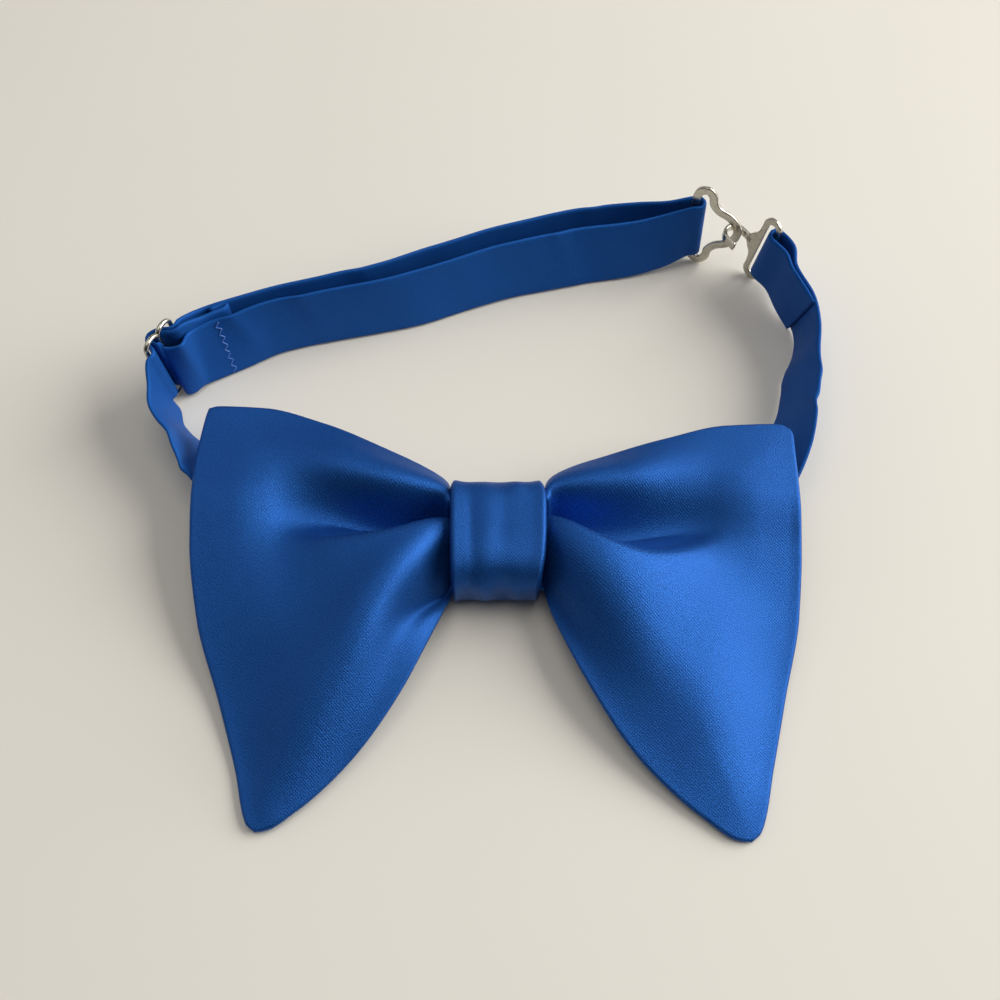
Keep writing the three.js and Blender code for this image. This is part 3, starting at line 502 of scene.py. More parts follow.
@dataclass(frozen=True)
class ThreadFinish:
    """Polyester sewing thread, spun and twisted.

    It is a shade lighter than the satin and dull, with a fine slanting twist.
    """

    name: str
    colour: str = "#6592DE"
    shaded: str = "#2A5DB8"
    twist_mm: float = 0.35

    def material(self) -> Material:
        """The thread as a material in object space.

        Returns:
            The material.
        """
        made, tree, shader = new_material(self.name)
        place = add_node(tree, "ShaderNodeTexCoord").outputs["Object"]
        twist = bands(tree, place, "DIAGONAL", self.twist_mm * MM, {"Distortion": 1.0})
        set_node(tree, shader, {"Roughness": 0.6}, {
            "Base Color": blended(tree, self.shaded, self.colour, twist),
            "Normal": raised(tree, twist, 0.4, 0.00005),
        })
        return made


def dress(obj: Object, material: Material) -> Object:
    """Gives a piece its material.

    Args:
        obj: The piece.
        material: Its material.

    Returns:
        The piece.
    """
    obj.data.materials.clear()
    obj.data.materials.append(material)
    return obj


# The bow


class Side(Enum):
    """The two wings, as seen from the front."""

    LEFT = "left"
    RIGHT = "right"


class Edge(Enum):
    """The three free edges of a wing."""

    TOP = "top"
    OUTER = "outer"
    LOWER = "lower"


# Edge outlines in plan: share of the way along, x and y in millimetres.
OUTLINE: dict[tuple[Side, Edge], Rows] = {
    (Side.LEFT, Edge.TOP): (
        (0, -11.6, 11.3), (0.03, -12.8, 14.4), (0.07, -15.4, 16.8), (0.25, -28.2, 23.7),
        (0.5, -43.5, 30.4), (0.75, -58.8, 34.8), (0.95, -70.4, 35.2), (1, -73.1, 34.5),
    ),
    (Side.LEFT, Edge.OUTER): (
        (0, -54.6, -69.2), (0.03, -56.8, -67.2), (0.16, -60.3, -55), (0.32, -65.5, -39),
        (0.5, -71.9, -19.8), (0.68, -74.7, -0.5), (0.84, -75, 15.5), (0.975, -73.7, 31.8),
        (1, -73.1, 34.5),
    ),
    (Side.LEFT, Edge.LOWER): (
        (0, -11.6, -12.2), (0.03, -12.4, -16.2), (0.08, -14.4, -21.2), (0.28, -22.4, -37.9),
        (0.52, -32.6, -52.5), (0.78, -45.4, -64.8), (0.96, -52.4, -69), (1, -54.6, -69.2),
    ),
    (Side.RIGHT, Edge.TOP): (
        (0, 11.6, 11.3), (0.03, 12.8, 14.6), (0.07, 15.2, 16.6), (0.25, 26.6, 21.1),
        (0.5, 41.8, 25.9), (0.75, 57, 29.3), (0.95, 70.1, 29.5), (1, 73.1, 27.9),
    ),
    (Side.RIGHT, Edge.OUTER): (
        (0, 56.8, -71.4), (0.03, 59.2, -69.2), (0.16, 63.4, -54.5), (0.32, 67.6, -38),
        (0.5, 72.2, -19), (0.68, 73.6, -2), (0.84, 73.8, 12.5), (0.975, 73.8, 25.8),
        (1, 73.1, 27.9),
    ),
    (Side.RIGHT, Edge.LOWER): (
        (0, 11.6, -12.2), (0.03, 12.2, -16.4), (0.08, 14, -21.6), (0.28, 22, -38.1),
        (0.52, 32, -52.9), (0.78, 46.2, -66.2), (0.96, 54.4, -71.2), (1, 56.8, -71.4),
    ),
}

# Height of the middle of the wall along the outer edge, from the tip to the upper corner.
OUTER_RISE: dict[Side, Rows] = {
    Side.LEFT: ((0, 0.85), (0.14, 0.9), (0.32, 2.4), (0.5, 6.6), (0.66, 11), (0.8, 14.2), (1, 14)),
    Side.RIGHT: ((0, 0.85), (0.14, 0.9), (0.32, 2.2), (0.5, 5.4), (0.66, 9.8), (0.8, 13.8), (1, 14.8)),
}

LOWER_EDGE: Rows = (
    (0, 0, -3.8, 0.13, 0.1), (0.06, 0, -3.4, 0.13, 0.1), (0.14, 0, -1.8, 0.15, 0.1),
    (0.25, 0, -1.4, 0.16, 0.1), (0.55, 0, -1.2, 0.14, 0.1), (0.9, 0, 0, 0.12, 0.1),
)

# Folds of the wings. A row: the way out from the knot, the fold's line, its rise and its two spreads.
FOLDS: dict[Side, dict[str, Rows]] = {
    Side.LEFT: {
        "upper ridge": (
            (0, 0.87, 3.8, 0.12, 0.11), (0.2, 0.85, 5.4, 0.13, 0.09), (0.42, 0.865, 4.4, 0.12, 0.08),
            (0.58, 0.885, 1.8, 0.11, 0.08), (0.75, 0.9, 0.3, 0.1, 0.1), (1, 0.9, 0, 0.1, 0.1),
        ),
        "pocket": (
            (0, 0.69, -4.4, 0.1, 0.05), (0.15, 0.64, -6.6, 0.1, 0.045), (0.3, 0.665, -6.8, 0.11, 0.05),
            (0.45, 0.695, -5.8, 0.12, 0.065), (0.58, 0.71, -4.6, 0.115, 0.09),
            (0.68, 0.72, -2.2, 0.11, 0.11), (0.75, 0.725, 0, 0.11, 0.12),
        ),
        "flap edge": (
            (0, 0.61, 3.4, 0.05, 0.24), (0.08, 0.575, 5.6, 0.03, 0.24), (0.2, 0.555, 6, 0.022, 0.24),
            (0.35, 0.575, 4.6, 0.022, 0.24), (0.48, 0.595, 2.4, 0.026, 0.22),
            (0.6, 0.62, 0.4, 0.04, 0.2), (0.7, 0.66, 0, 0.05, 0.2),
        ),
        "long roll": (
            (0, 0.45, 0.6, 0.12, 0.1), (0.12, 0.42, 2.4, 0.12, 0.11), (0.27, 0.355, 5, 0.13, 0.12),
            (0.42, 0.29, 6.6, 0.16, 0.13), (0.58, 0.225, 6, 0.2, 0.13), (0.78, 0.13, 3, 0.22, 0.12),
            (1, 0.03, 0, 0.2, 0.1),
        ),
        "dimple": (
            (0, 0.1, -3.4, 0.08, 0.08), (0.1, 0.19, -3.6, 0.075, 0.08), (0.2, 0.24, -1.8, 0.07, 0.07),
            (0.3, 0.27, 0, 0.06, 0.07),
        ),
        "lower edge": LOWER_EDGE,
    },
    Side.RIGHT: {
        "upper ridge": (
            (0, 0.9, 3.8, 0.12, 0.11), (0.15, 0.88, 5.2, 0.13, 0.11), (0.35, 0.86, 4.6, 0.13, 0.1),
            (0.55, 0.87, 1.8, 0.12, 0.09), (0.72, 0.89, 0.2, 0.1, 0.1), (1, 0.9, 0, 0.1, 0.1),
        ),
        "pocket": (
            (0, 0.69, -4.4, 0.11, 0.05), (0.15, 0.62, -6.2, 0.12, 0.045),
            (0.3, 0.625, -6.2, 0.14, 0.05), (0.46, 0.665, -5.6, 0.14, 0.06),
            (0.6, 0.7, -4.8, 0.12, 0.08), (0.69, 0.715, -2.8, 0.11, 0.1), (0.77, 0.72, 0, 0.1, 0.11),
        ),
        "flap edge": (
            (0, 0.61, 3.6, 0.05, 0.26), (0.08, 0.55, 6.4, 0.03, 0.28), (0.2, 0.51, 6.8, 0.024, 0.3),
            (0.35, 0.51, 5.4, 0.024, 0.28), (0.5, 0.55, 3.2, 0.026, 0.24),
            (0.64, 0.615, 1.2, 0.035, 0.2), (0.74, 0.66, 0.3, 0.05, 0.18), (0.84, 0.7, 0, 0.06, 0.2),
        ),
        "long roll": (
            (0, 0.45, 0.8, 0.2, 0.16), (0.12, 0.42, 2.2, 0.22, 0.18), (0.3, 0.38, 3.4, 0.25, 0.2),
            (0.48, 0.33, 3.9, 0.28, 0.2), (0.66, 0.27, 3.6, 0.28, 0.18), (0.85, 0.18, 1.8, 0.26, 0.15),
            (1, 0.1, 0, 0.2, 0.1),
        ),
        "lower valley": (
            (0, 0.18, -2.2, 0.1, 0.12), (0.12, 0.15, -1.8, 0.1, 0.12), (0.25, 0.12, -0.6, 0.1, 0.12),
            (0.4, 0.1, 0, 0.1, 0.12),
        ),
        "lower edge": LOWER_EDGE,
    },
}


@dataclass
class Knot:
    """The band of satin wrapped round the waist, with turned-in side edges."""

    depth: float = 26.6
    height: float = 19.2
    wall: float = 1.5
    squareness: float = 3.4
    front_squareness: float = 2.9
    front: float = 1.2
    sink: float = 0.7
    edge_radius: float = 0.8
    # degrees round, left and right edges, swell
    rounds: Rows = (
        (0, -11.4, 10.6, 0), (40, -11.5, 11.2, 0.25), (75, -11.5, 11.8, 0), (110, -11.3, 11.4, 0.35),
        (150, -11.2, 10.4, 0.1), (185, -11, 9.8, 0.3), (230, -11, 10, 0), (310, -11.2, 10.4, 0),
        (360, -11.4, 10.6, 0),
    )
    # soft folds: height, share across, its drift for each degree, spread, degrees round, their spread
    folds: Rows = (
        (-0.34, 0.22, 0.0006, 0.06, 105, 50), (0.32, 0.38, 0, 0.09, 95, 45), (-0.16, 0.56, 0, 0.08, 80, 40),
        (-0.35, 0.5, 0, 0.12, 45, 18), (0.3, 0.7, 0, 0.08, 50, 18), (0.3, 0.3, 0, 0.07, 158, 16),
        (-0.2, 0.62, 0, 0.1, 155, 18),
    )
    # the hems: share across, height and spread
    hems: Rows = ((0.0, 0.62, 0.11), (1.0, 0.5, 0.11))
    # the humps in front: height, radians across, phase, degrees round and their spread
    humps: tuple[float, ...] = (0.55, 15.0, 0.6, 186, 30)
    # where the folds begin and end round the section, each with the degrees that it takes
    shown: Rows = ((2, 14), (190, 12))
    swell_end: float = 185
    swell_power: float = 0.8
    fold_margin: float = 1.4
    grow_depth: float = 12
    inner_margin: float = 0.6
    crowding: float = 0.6
    fine_steps: int = 2881
    around: int = 168
    face_steps: int = 44
    inner_steps: int = 10
    cloth_width: float = 23.0

    def section(self, deg: Array, inset: Array) -> tuple[Array, Array]:
        """Points of the knot's section: 0 degrees faces the loop, 90 is the top.

        Args:
            deg: Angles round the section.
            inset: How far inside the outer surface.

        Returns:
            The y and z of the points.
        """
        angle = np.radians(deg)
        c, s = np.cos(angle), np.sin(angle)
        power = 2 / np.where(c < 0, self.front_squareness, self.squareness)
        reach = self.depth / 2 + np.where(c < 0, self.front, 0.0)
        y = (reach - inset) * np.sign(c) * np.abs(c) ** power
        z = ((self.height + self.sink) / 2 - inset) * np.sign(s) * np.abs(s) ** power
        return y, np.maximum(z + (self.height - self.sink) / 2, inset)

    def build(self) -> Object:
        """The closed band, its outer face with the soft folds that the wrap has.

        Returns:
            The piece.
        """
        # even steps round the section, because a squarish section bunches its points at the corners
        fine = np.linspace(0, 360, self.fine_steps)
        y, z = self.section(fine, np.zeros_like(fine))
        walked = np.concatenate([[0], np.cumsum(np.hypot(np.diff(y), np.diff(z)))])
        deg = np.interp(np.arange(self.around) / self.around * walked[-1], walked, fine)
        left, right = between(self.rounds, deg, 1), between(self.rounds, deg, 2)
        swell = np.where(deg > self.swell_end, 0, between(self.rounds, deg, 3))
        share = crowded(self.face_steps, self.crowding)
        x_out = left[:, None] + (right - left)[:, None] * share
        edge = np.minimum(x_out - left[:, None], right[:, None] - x_out) / self.edge_radius
        rounded = (self.wall / 2) * (1 - np.sqrt(1 - (1 - np.clip(edge, 0, 1)) ** 2))
        hump = swell[:, None] * np.sin(math.pi * share) ** self.swell_power
        (first, rising), (last, falling) = self.shown
        shown = smooth((deg - first) / rising) * (1 - smooth((deg - last) / falling))
        relief = self.relief(deg[:, None], share[None, :]) * shown[:, None]
        inset = rounded - hump - relief * smooth(edge / self.fold_margin)
        y, z = self.section(deg[:, None] + 0 * share, np.maximum(inset, 0) + 0 * share)
        grow = 1 + np.maximum(-inset, 0) / self.grow_depth
        z = np.where(inset < 0, np.maximum(0, (z - self.height / 2) * grow + self.height / 2), z)
        outer = np.stack([x_out, y * grow, z], axis=-1)
        back = np.linspace(1, 0, self.inner_steps)
        margin = self.inner_margin * self.edge_radius
        x_in = lerp(left[:, None] + margin, right[:, None] - margin, back)
        y, z = self.section(deg[:, None] + 0 * back, np.full(x_in.shape, self.wall))
        rings = np.concatenate([outer, np.stack([x_in, y, z], axis=-1)], axis=1)
        along = np.interp(deg, fine, walked)
        across = np.broadcast_to(np.concatenate([share, back]), rings.shape[:2])
        uv = np.stack([across * self.cloth_width, np.broadcast_to(-along[:, None], across.shape)], axis=-1)
        faces = [tuple(reversed(f)) for f in ring_faces(*rings.shape[:2], True)]
        return make_piece("satin_knot_wrap", rings.reshape(-1, 3), faces, uv.reshape(-1, 2))

    def relief(self, deg: Array, share: Array) -> Array:
        """Hems, soft folds and three humps in front, in millimetres, over the wrap's shown face.

        Args:
            deg: Degrees round the section.
            share: Shares of the way across.

        Returns:
            Heights over the plain section.
        """
        total = sum(height * bump(share, at, spread) for at, height, spread in self.hems)
        for height, middle, drift, spread, at, width in self.folds:
            total = total + height * bump(share, middle + drift * (deg - 90), spread) * bump(deg, at, width)
        height, turn, phase, at, width = self.humps
        humps = height * np.cos(share * turn + phase) * bump(deg, at, width) * np.sin(math.pi * share)
        return total + humps


@dataclass
class Bow:
    """The padded satin bow: two wings and the gathered waist that runs through the knot."""

    wall: float = 3.0
    edge_wall: float = 1.5
    edge_radius: float = 0.75
    padded_from: float = 20.0
    waist_half: float = 11.6
    waist_front: float = 12.0
    waist_back: float = 11.0
    waist_height: float = 10.1
    waist_floor: float = 5.2
    clear: float = 0.35
    crown: float = 2.2
    rise_pace: float = 1.05
    lowest_top: float = 0.02
    root_share: float = 0.06
    wing_steps: int = 96
    waist_steps: int = 10
    waist_span: float = 0.85
    width_steps: int = 136
    wing_ease: float = 1.35
    edge_ease: float = 1.25
    knot: Knot = field(default_factory=Knot)

    def edge(self, side: Side, edge: Edge, t: Array | float) -> Array:
        """Plan positions on one edge of a wing, at shares of the way along it."""
        return np.stack([between(OUTLINE[side, edge], t, 1), between(OUTLINE[side, edge], t, 2)], axis=-1)

    def plan(self, side: Side, u: Array, v: Array) -> Array:
        """Plan positions in a wing: u from the knot outward, v from the lower to the top edge.

        Args:
            side: Which wing.
            u: Shares of the way out.
            v: Shares of the way up.

        Returns:
            Positions as x and y.
        """
        top, low = self.edge(side, Edge.TOP, u), self.edge(side, Edge.LOWER, u)
        out = self.edge(side, Edge.OUTER, v)
        root_low, root_top = self.edge(side, Edge.LOWER, 0.0), self.edge(side, Edge.TOP, 0.0)
        tip, corner = self.edge(side, Edge.OUTER, 0.0), self.edge(side, Edge.OUTER, 1.0)
        a, b = u[..., None], v[..., None]
        root = lerp(root_low, root_top, b)
        return lerp(low, top, b) + lerp(root, out, a) - lerp(root, lerp(tip, corner, b), a)

    def fold_rise(self, side: Side, u: Array, v: Array) -> Array:
        """The sum of the folds of one wing.

        Args:
            side: Which wing.
            u: Shares of the way out.
            v: Shares of the way up.

        Returns:
            Heights over the plain wing.
        """
        rise = np.zeros(np.broadcast(u, v).shape)
        for rows in FOLDS[side].values():
            # evened out along the wing, so that no row of the table shows as a kink in the sheen
            spots = [np.clip(u + d, 0, 1) for d in (-0.06, -0.03, 0.0, 0.03, 0.06)]
            evened = [sum(between(rows, at, k) for at in spots) / len(spots) for k in range(1, 5)]
            line, height, above, below = evened
            off = v - line
            flank = np.where(off > 0, off / above, off / below)
            rise = rise + height * np.exp(-flank * flank)
        return rise

    def rise(self, side: Side, u: Array, v: Array) -> Array:
        """Heights of the middle of a wing's wall, at shares of the way out and of the way up."""
        base = lerp(self.waist_height, between(OUTER_RISE[side], v), smooth(u * self.rise_pace))
        return base + self.crown * np.sin(math.pi * u) * np.sin(math.pi * v) + self.fold_rise(side, u, v)

    def in_knot(self, z: Array, v: Array) -> Array:
        """A height kept between the floor and the roof of the knot.

        Args:
            z: Heights.
            v: Shares of the way up the waist.

        Returns:
            The heights that fit.
        """
        knot = self.knot
        y = lerp(-self.waist_front, self.waist_back, v)
        power = np.where(y < 0, knot.front_squareness, knot.squareness)
        half_y = knot.depth / 2 + np.where(y < 0, knot.front, 0.0) - knot.wall - self.clear
        half_z = (knot.height + knot.sink) / 2 - knot.wall - self.clear - self.wall / 2
        room = half_z * np.maximum(1 - np.abs(y / half_y) ** power, 0) ** (1 / power)
        centre = (knot.height - knot.sink) / 2
        return np.clip(z, np.maximum(self.waist_floor, centre - room), centre + room)

    def middle(self, stations: Array, v: Array) -> Array:
        """The middle surface: stations run from -2 at the left tip to 2 at the right one.

        Args:
            stations: Stations across the bow, -1 to 1 inside the knot.
            v: Shares of the bow's width, from the lower to the top edge.

        Returns:
            A grid of points, stations by shares.
        """
        s, w = np.meshgrid(stations, v, indexing="ij")
        zero = np.zeros_like(s)
        share = smooth((s + 1) / 2)
        waist_z = lerp(self.rise(Side.LEFT, zero, w), self.rise(Side.RIGHT, zero, w), share)
        waist_y = lerp(-self.waist_front, self.waist_back, w)
        grid = np.stack([s * self.waist_half, waist_y, self.in_knot(waist_z, w)], axis=-1)
        for side, sign in ((Side.LEFT, -1), (Side.RIGHT, 1)):
            u = np.clip(sign * s - 1, 0, 1)
            z = self.rise(side, u, w)
            z = lerp(z, self.in_knot(z, w), 1 - smooth(u / self.root_share))
            wing = np.concatenate([self.plan(side, u, w), z[..., None]], axis=-1)
            grid = np.where((sign * s > 1)[..., None], wing, grid)
        return grid

    def build(self) -> Object:
        """The closed skin of the bow, both faces and the rounded edge between them.

        Returns:
            The piece.
        """
        # the steps are shortest beside the knot and along the free edges
        out = 1 - np.cos(np.linspace(0, 1, self.wing_steps) * math.pi / 2) ** self.wing_ease
        waist = np.linspace(-self.waist_span, self.waist_span, self.waist_steps)
        stations = np.concatenate([-1 - out[::-1], waist, 1 + out])
        t = np.linspace(0, 1, self.width_steps)
        v = np.where(t < 0.5, (2 * t) ** self.edge_ease / 2, 1 - (2 - 2 * t) ** self.edge_ease / 2)
        grid = self.middle(stations, v)
        ns, nv = grid.shape[:2]
        edges = (grid[:, :1], grid[:, -1:], grid[:1], grid[-1:])
        inset = np.minimum.reduce([np.linalg.norm((grid - edge)[..., :2], axis=-1) for edge in edges])
        turned = 1 - np.clip(inset / self.edge_radius, 0, 1)
        full = lerp(self.edge_wall, self.wall, smooth(inset / self.padded_from))
        half = full / 2 * np.sqrt(np.maximum(1 - turned**2, 0))
        normal = unit(np.cross(np.gradient(grid, axis=0), np.gradient(grid, axis=1)))
        top = grid + normal * half[..., None]
        under = grid - normal * half[..., None]
        under[..., 2] = np.maximum(under[..., 2], 0.0)
        top[..., 2] = np.maximum(top[..., 2], self.lowest_top)
        index_top = np.arange(ns * nv).reshape(ns, nv)
        rim = np.zeros((ns, nv), bool)
        rim[0, :] = rim[-1, :] = rim[:, 0] = rim[:, -1] = True
        index_under = np.where(rim, index_top, index_top + ns * nv)
        here, on = slice(None, -1), slice(1, None)
        around = ((here, here), (on, here), (on, on), (here, on))
        above = np.stack([index_top[corner] for corner in around], axis=-1)
        below = np.stack([index_under[around[k]] for k in (0, 3, 2, 1)], axis=-1)
        quads = np.stack([above, below], axis=2).reshape(-1, 4)
        points = np.concatenate([top.reshape(-1, 3), under.reshape(-1, 3)])
        uv = np.concatenate([grid[..., :2].reshape(-1, 2)] * 2)
        used, numbers = np.unique(quads, return_inverse=True)
        faces = [tuple(face) for face in numbers.reshape(-1, 4).tolist()]
        return make_piece("satin_bow", points[used], faces, uv[used])


# The fittings' frames and the neckband


@dataclass(frozen=True)
class Fitting:
    """Where a metal fitting stands: its bar's foot, the strap's way there, and its tilts in degrees."""

    x: float
    y: float
    heading: float
    lean: float
    lift: float
    roll: float

    def axes(self) -> tuple[Array, Array, Array, Array]:
        """The foot of the bar, the way along the strap, the way up the bar and the way out.

        Returns:
            The point and the three directions.
        """
        heading, lean, roll = (math.radians(a) for a in (self.heading, self.lean, self.roll))
        along = np.array([math.cos(heading), math.sin(heading), 0.0])
        outward = np.array([-along[1], along[0], 0.0])
        upright = np.array([0.0, 0.0, 1.0])
        up = upright * math.cos(lean) + outward * math.sin(lean)
        out = outward * math.cos(lean) - upright * math.sin(lean)
        c, s = math.cos(roll), math.sin(-roll)
        along, up = (v * c + np.cross(out, v) * s + out * np.dot(out, v) * (1 - c) for v in (along, up))
        return np.array([self.x, self.y, self.lift]), along, up, out

    def place(self, points: Array, raised: float = 0.0) -> Array:
        """Points drawn in the fitting's plane, along the strap, up the bar and inward, put in place."""
        foot, along, up, out = self.axes()
        return (
            foot + up * (STRAP / 2 + raised)
            + points[..., :1] * along + points[..., 1:2] * up - points[..., 2:] * out
        )


HOOK_PLACE = Fitting(72.35, 85.5, -48, 3.0, 3.4, -7.0)
SLIDER_PLACE = Fitting(-84.2, 50.9, 64, 9, 2.55, 0)
EYE_PLACE = Fitting(53.9, 93.6, -19, 7, 3.5, 3)


@dataclass
class Neckband:
    """One stitched satin strap, from its short end at the hook to the hem behind the slider.

    Runs are tables of x and y of the lower edge in plan, lean out of the loop in degrees and lift.
    """

    width: float = STRAP
    thick: float = 1.0
    edge_round: float = 0.6
    right_run: Rows = (
        (77.5, 76.2, 5, 1.4), (80.9, 67.2, 6, 0.3), (80, 60, 12, 0.05), (76.9, 53, 20, 0.05),
        (75.2, 46, 24, 0.05), (73.2, 39, 28, 0.05), (68.2, 31.3, 45, 0.05), (60.5, 23, 64, 0.05),
        (47.5, 16, 84, 0.05), (31, 11.5, 90, 0.05), (22, 9.8, 90, 0.9), (12.5, 9, 90, 2.2),
    )
    left_run: Rows = (
        (0, 8.9, 90, 2.2), (-12.5, 9, 90, 2.2), (-22, 9.8, 90, 0.9), (-31, 11.5, 90, 0.05),
        (-47.5, 16, 84, 0.05), (-61, 22.6, 64, 0.05), (-70.5, 28.2, 47, 0.05), (-77.6, 32.6, 27, 0.05),
        (-82.6, 37.4, 20, 0.05), (-84.2, 42.4, 16, 0.4),
    )
    short_end: Rows = ((79.2, 68.6, 6, 0.6, 0.28), (76.5, 74.9, 5, 1.5))
    rear_layer: Rows = (
        (-76.9, 58.6, 12, 0.8), (-70.6, 61.2, 15, 0.2), (-56.4, 66, 16, 0.05), (-43.4, 69.8, 16, 0.05),
        (-30, 73.8, 16, 0.05), (-16.2, 79.1, 16, 0.05), (2.2, 86.2, 16, 0.05), (22.8, 92, 16, 0.05),
        (38, 93.8, 14, 0.8), (46.5, 94.4, 10, 2),
    )
    front_layer: Rows = (
        (46.5, 89, 15, 1.6), (38.4, 86.8, 18, 0.5), (21.8, 84, 20, 0.05), (0.5, 78.6, 18, 0.05),
        (-18.4, 71.4, 17, 0.05), (-32.3, 67.6, 15, 0.05), (-46.1, 64.7, 14, 0.05), (-59.7, 60.8, 15, 0.05),
        (-66.6, 56.9, 18, 0.05), (-72.8, 53.6, 20, 0.05), (-77, 51.2, 18, 0.3),
    )
    returned_end: Rows = ((-75.2, 56, 14, 1), (-72.4, 57.5, 15, 0.7), (-69.2, 59.1, 16, 0.5))
    hem: Rows = ((-69.8, 60.2, 16, 0.5), (-73.4, 58.6, 15, 0.8))
    # layers beside the slider, the hook and the eye: along the strap, out of the loop, drop and tip
    running: Rows = (
        (-6.9, -1.3), (-5.3, -1.62), (-4, -0.95), (-2.3, 2.1), (0, 3.4), (2.3, 2.1), (4, -0.95),
        (5.3, -1.62), (6.6, -1.45),
    )
    hook_short: Rows = ((5, -2), (0, -1.9))
    hook_main: Rows = ((0, 1.9), (5, 1.3))
    eye_sides: Rows = ((0, 2.2), (0, -2.2))
    front: Rows = ((1.4, -5.2, 2.3), (-0.9, -4.4, 2.4, 0.9), (-2.6, -3, 2, 1.6))
    returned: Rows = ((1.5, 1.1), (3.1, -1.85), (4.2, -2.9), (5.5, -3.15))
    # distance of the strap's middle from the bars that it turns round
    hook_off: float = 1.9
    eye_off: float = 2.2
    slider_off: float = 2.0
    # stretches that a fitting holds flat, each up to the start of the next
    held: tuple[tuple[str, str], ...] = (
        ("hook fold", "main run"), ("slider", "rear layer"), ("eye fold", "front layer"),
        ("slider bar", "hem"),
    )
    # slow waves: share of the distance along, height, seed and distance between crests
    waves: Rows = ((1.0, 0.16, 5, 26.0), (0.5, 0.05, 8, 9.0))
    # in sections: how fast the waves die out beside a fitting, and how far they stay away after it
    settle: float = 1.2
    release: float = 0.2
    # at the hem: the way of the strap, and how far its turn reaches past the two layers
    hem_way: Triple = (0.9, 0.42, 0.0)
    hem_turn: Triple = (0.8, 0.3, 0.0)
    crowding: float = 0.75
    fine_steps: int = 40
    step: float = 1.0
    across: int = 15
    # pressed creases: where they cross the lower edge, how they slant, their depth and their width
    creases: Rows = (
        (76.2, 51.0, 0.75, 0.75, 1.5), (78.6, 57.0, 0.6, -0.4, 2.2), (-77.0, 32.2, -0.5, -0.8, 1.6),
        (-81.5, 36.0, -0.4, 0.5, 2.4), (60.0, 22.8, 0.5, 0.4, 2.5), (22.0, 92.0, 0.3, 0.35, 2.6),
        (-30.0, 73.8, -0.3, 0.3, 3.0), (21.0, 84.0, 0.25, -0.4, 2.8), (-46.0, 64.7, 0.3, -0.35, 3.2),
        (-62.0, 59.6, 0.35, -0.45, 2.4),
    )

    def beside(self, place: Fitting, on: float, out: float, drop: float = 0.0, tip: float = 0.0) -> Section:
        """A section beside a fitting: how far along, out of the loop, lowered and with its top drawn in."""
        foot, along, up, away = place.axes()
        return foot + along * on + away * out - up * drop, unit(up * self.width + (along + away) * tip)

    def by(self, place: Fitting, rows: Rows) -> list[Section]:
        """Sections beside a fitting from a table."""
        return [self.beside(place, *row) for row in rows]

    def around(self, place: Fitting, start: float) -> list[Section]:
        """Half a turn of the strap round a bar, from start out of the loop to as far on its other side."""
        turns = [math.pi * i / 4 for i in (1, 2, 3)]
        return [self.beside(place, start * math.sin(turn), start * math.cos(turn)) for turn in turns]

    def section(self, row: tuple[float, ...], along: Array) -> Section:
        """A section of a free run from its row of a table.

        Args:
            row: x, y, lean, lift and perhaps a slant.
            along: The way of the run.

        Returns:
            The section.
        """
        x, y, lean_deg, lift, *slant = row
        lean = math.radians(lean_deg)
        outward = np.array([-along[1], along[0], 0.0])
        up = np.array([0.0, 0.0, math.cos(lean)]) + outward * math.sin(lean)
        up = unit(up + along * (slant[0] if slant else 0.0))
        return np.array([x, y, lift + math.sin(lean) * self.thick / 2]), up

    def free(self, rows: Rows, before: Section | None, after: Section | None) -> list[Section]:
        """Sections of a free run, each square to the run through its neighbours.

        Args:
            rows: The run's table.
            before: The section that it comes from.
            after: The section that it goes to.

        Returns:
            The sections.
        """
        plan = [np.array([row[0], row[1], 0.0]) for row in rows]
        flat = np.array([1.0, 1.0, 0.0])
        ends = [before[0] * flat if before else plan[0], *plan, after[0] * flat if after else plan[-1]]
        return [self.section(row, unit(ends[i + 2] - ends[i])) for i, row in enumerate(rows)]

    def back(self, rows: Rows, before: Section | None, after: Section | None) -> list[Section]:
        """Sections of a run that comes back, so that outward is on its other hand."""
        return self.free(rows[::-1], after, before)[::-1]

    def sections(self) -> tuple[list[Section], dict[str, int]]:
        """All sections in order, and where each stretch begins.

        Returns:
            The sections, and the number of the first one by stretch.
        """
        hook_short, hook_main = self.by(HOOK_PLACE, self.hook_short), self.by(HOOK_PLACE, self.hook_main)
        running, front = self.by(SLIDER_PLACE, self.running), self.by(SLIDER_PLACE, self.front)
        returned = self.by(SLIDER_PLACE, self.returned)
        eye_rear, eye_front = self.by(EYE_PLACE, self.eye_sides)
        run = unit(np.array(self.hem_way))
        end, hem = self.section(self.returned_end[2], run), self.section(self.hem[0], run)
        turn = (end[0] + hem[0]) / 2 + np.array(self.hem_turn)
        stretches = {
            "short end": self.back(self.short_end, None, hook_short[0]),
            "hook fold": [*hook_short, *self.around(HOOK_PLACE, -self.hook_off), *hook_main],
            "main run": self.free(self.right_run + self.left_run, hook_main[1], running[0]),
            "slider": running,
            "rear layer": self.free(self.rear_layer, running[-1], eye_rear),
            "eye fold": [eye_rear, *self.around(EYE_PLACE, self.eye_off), eye_front],
            "front layer": self.back(self.front_layer, eye_front, front[0]),
            "slider bar": [*front, *self.around(SLIDER_PLACE, -self.slider_off), *returned],
            "returned end": self.free(self.returned_end, returned[-1], None),
            "hem": [(turn, end[1]), *self.back(self.hem, None, None)],
        }
        made: list[Section] = []
        starts: dict[str, int] = {}
        for name, part in stretches.items():
            starts[name] = len(made)
            made.extend(part)
        return made, starts

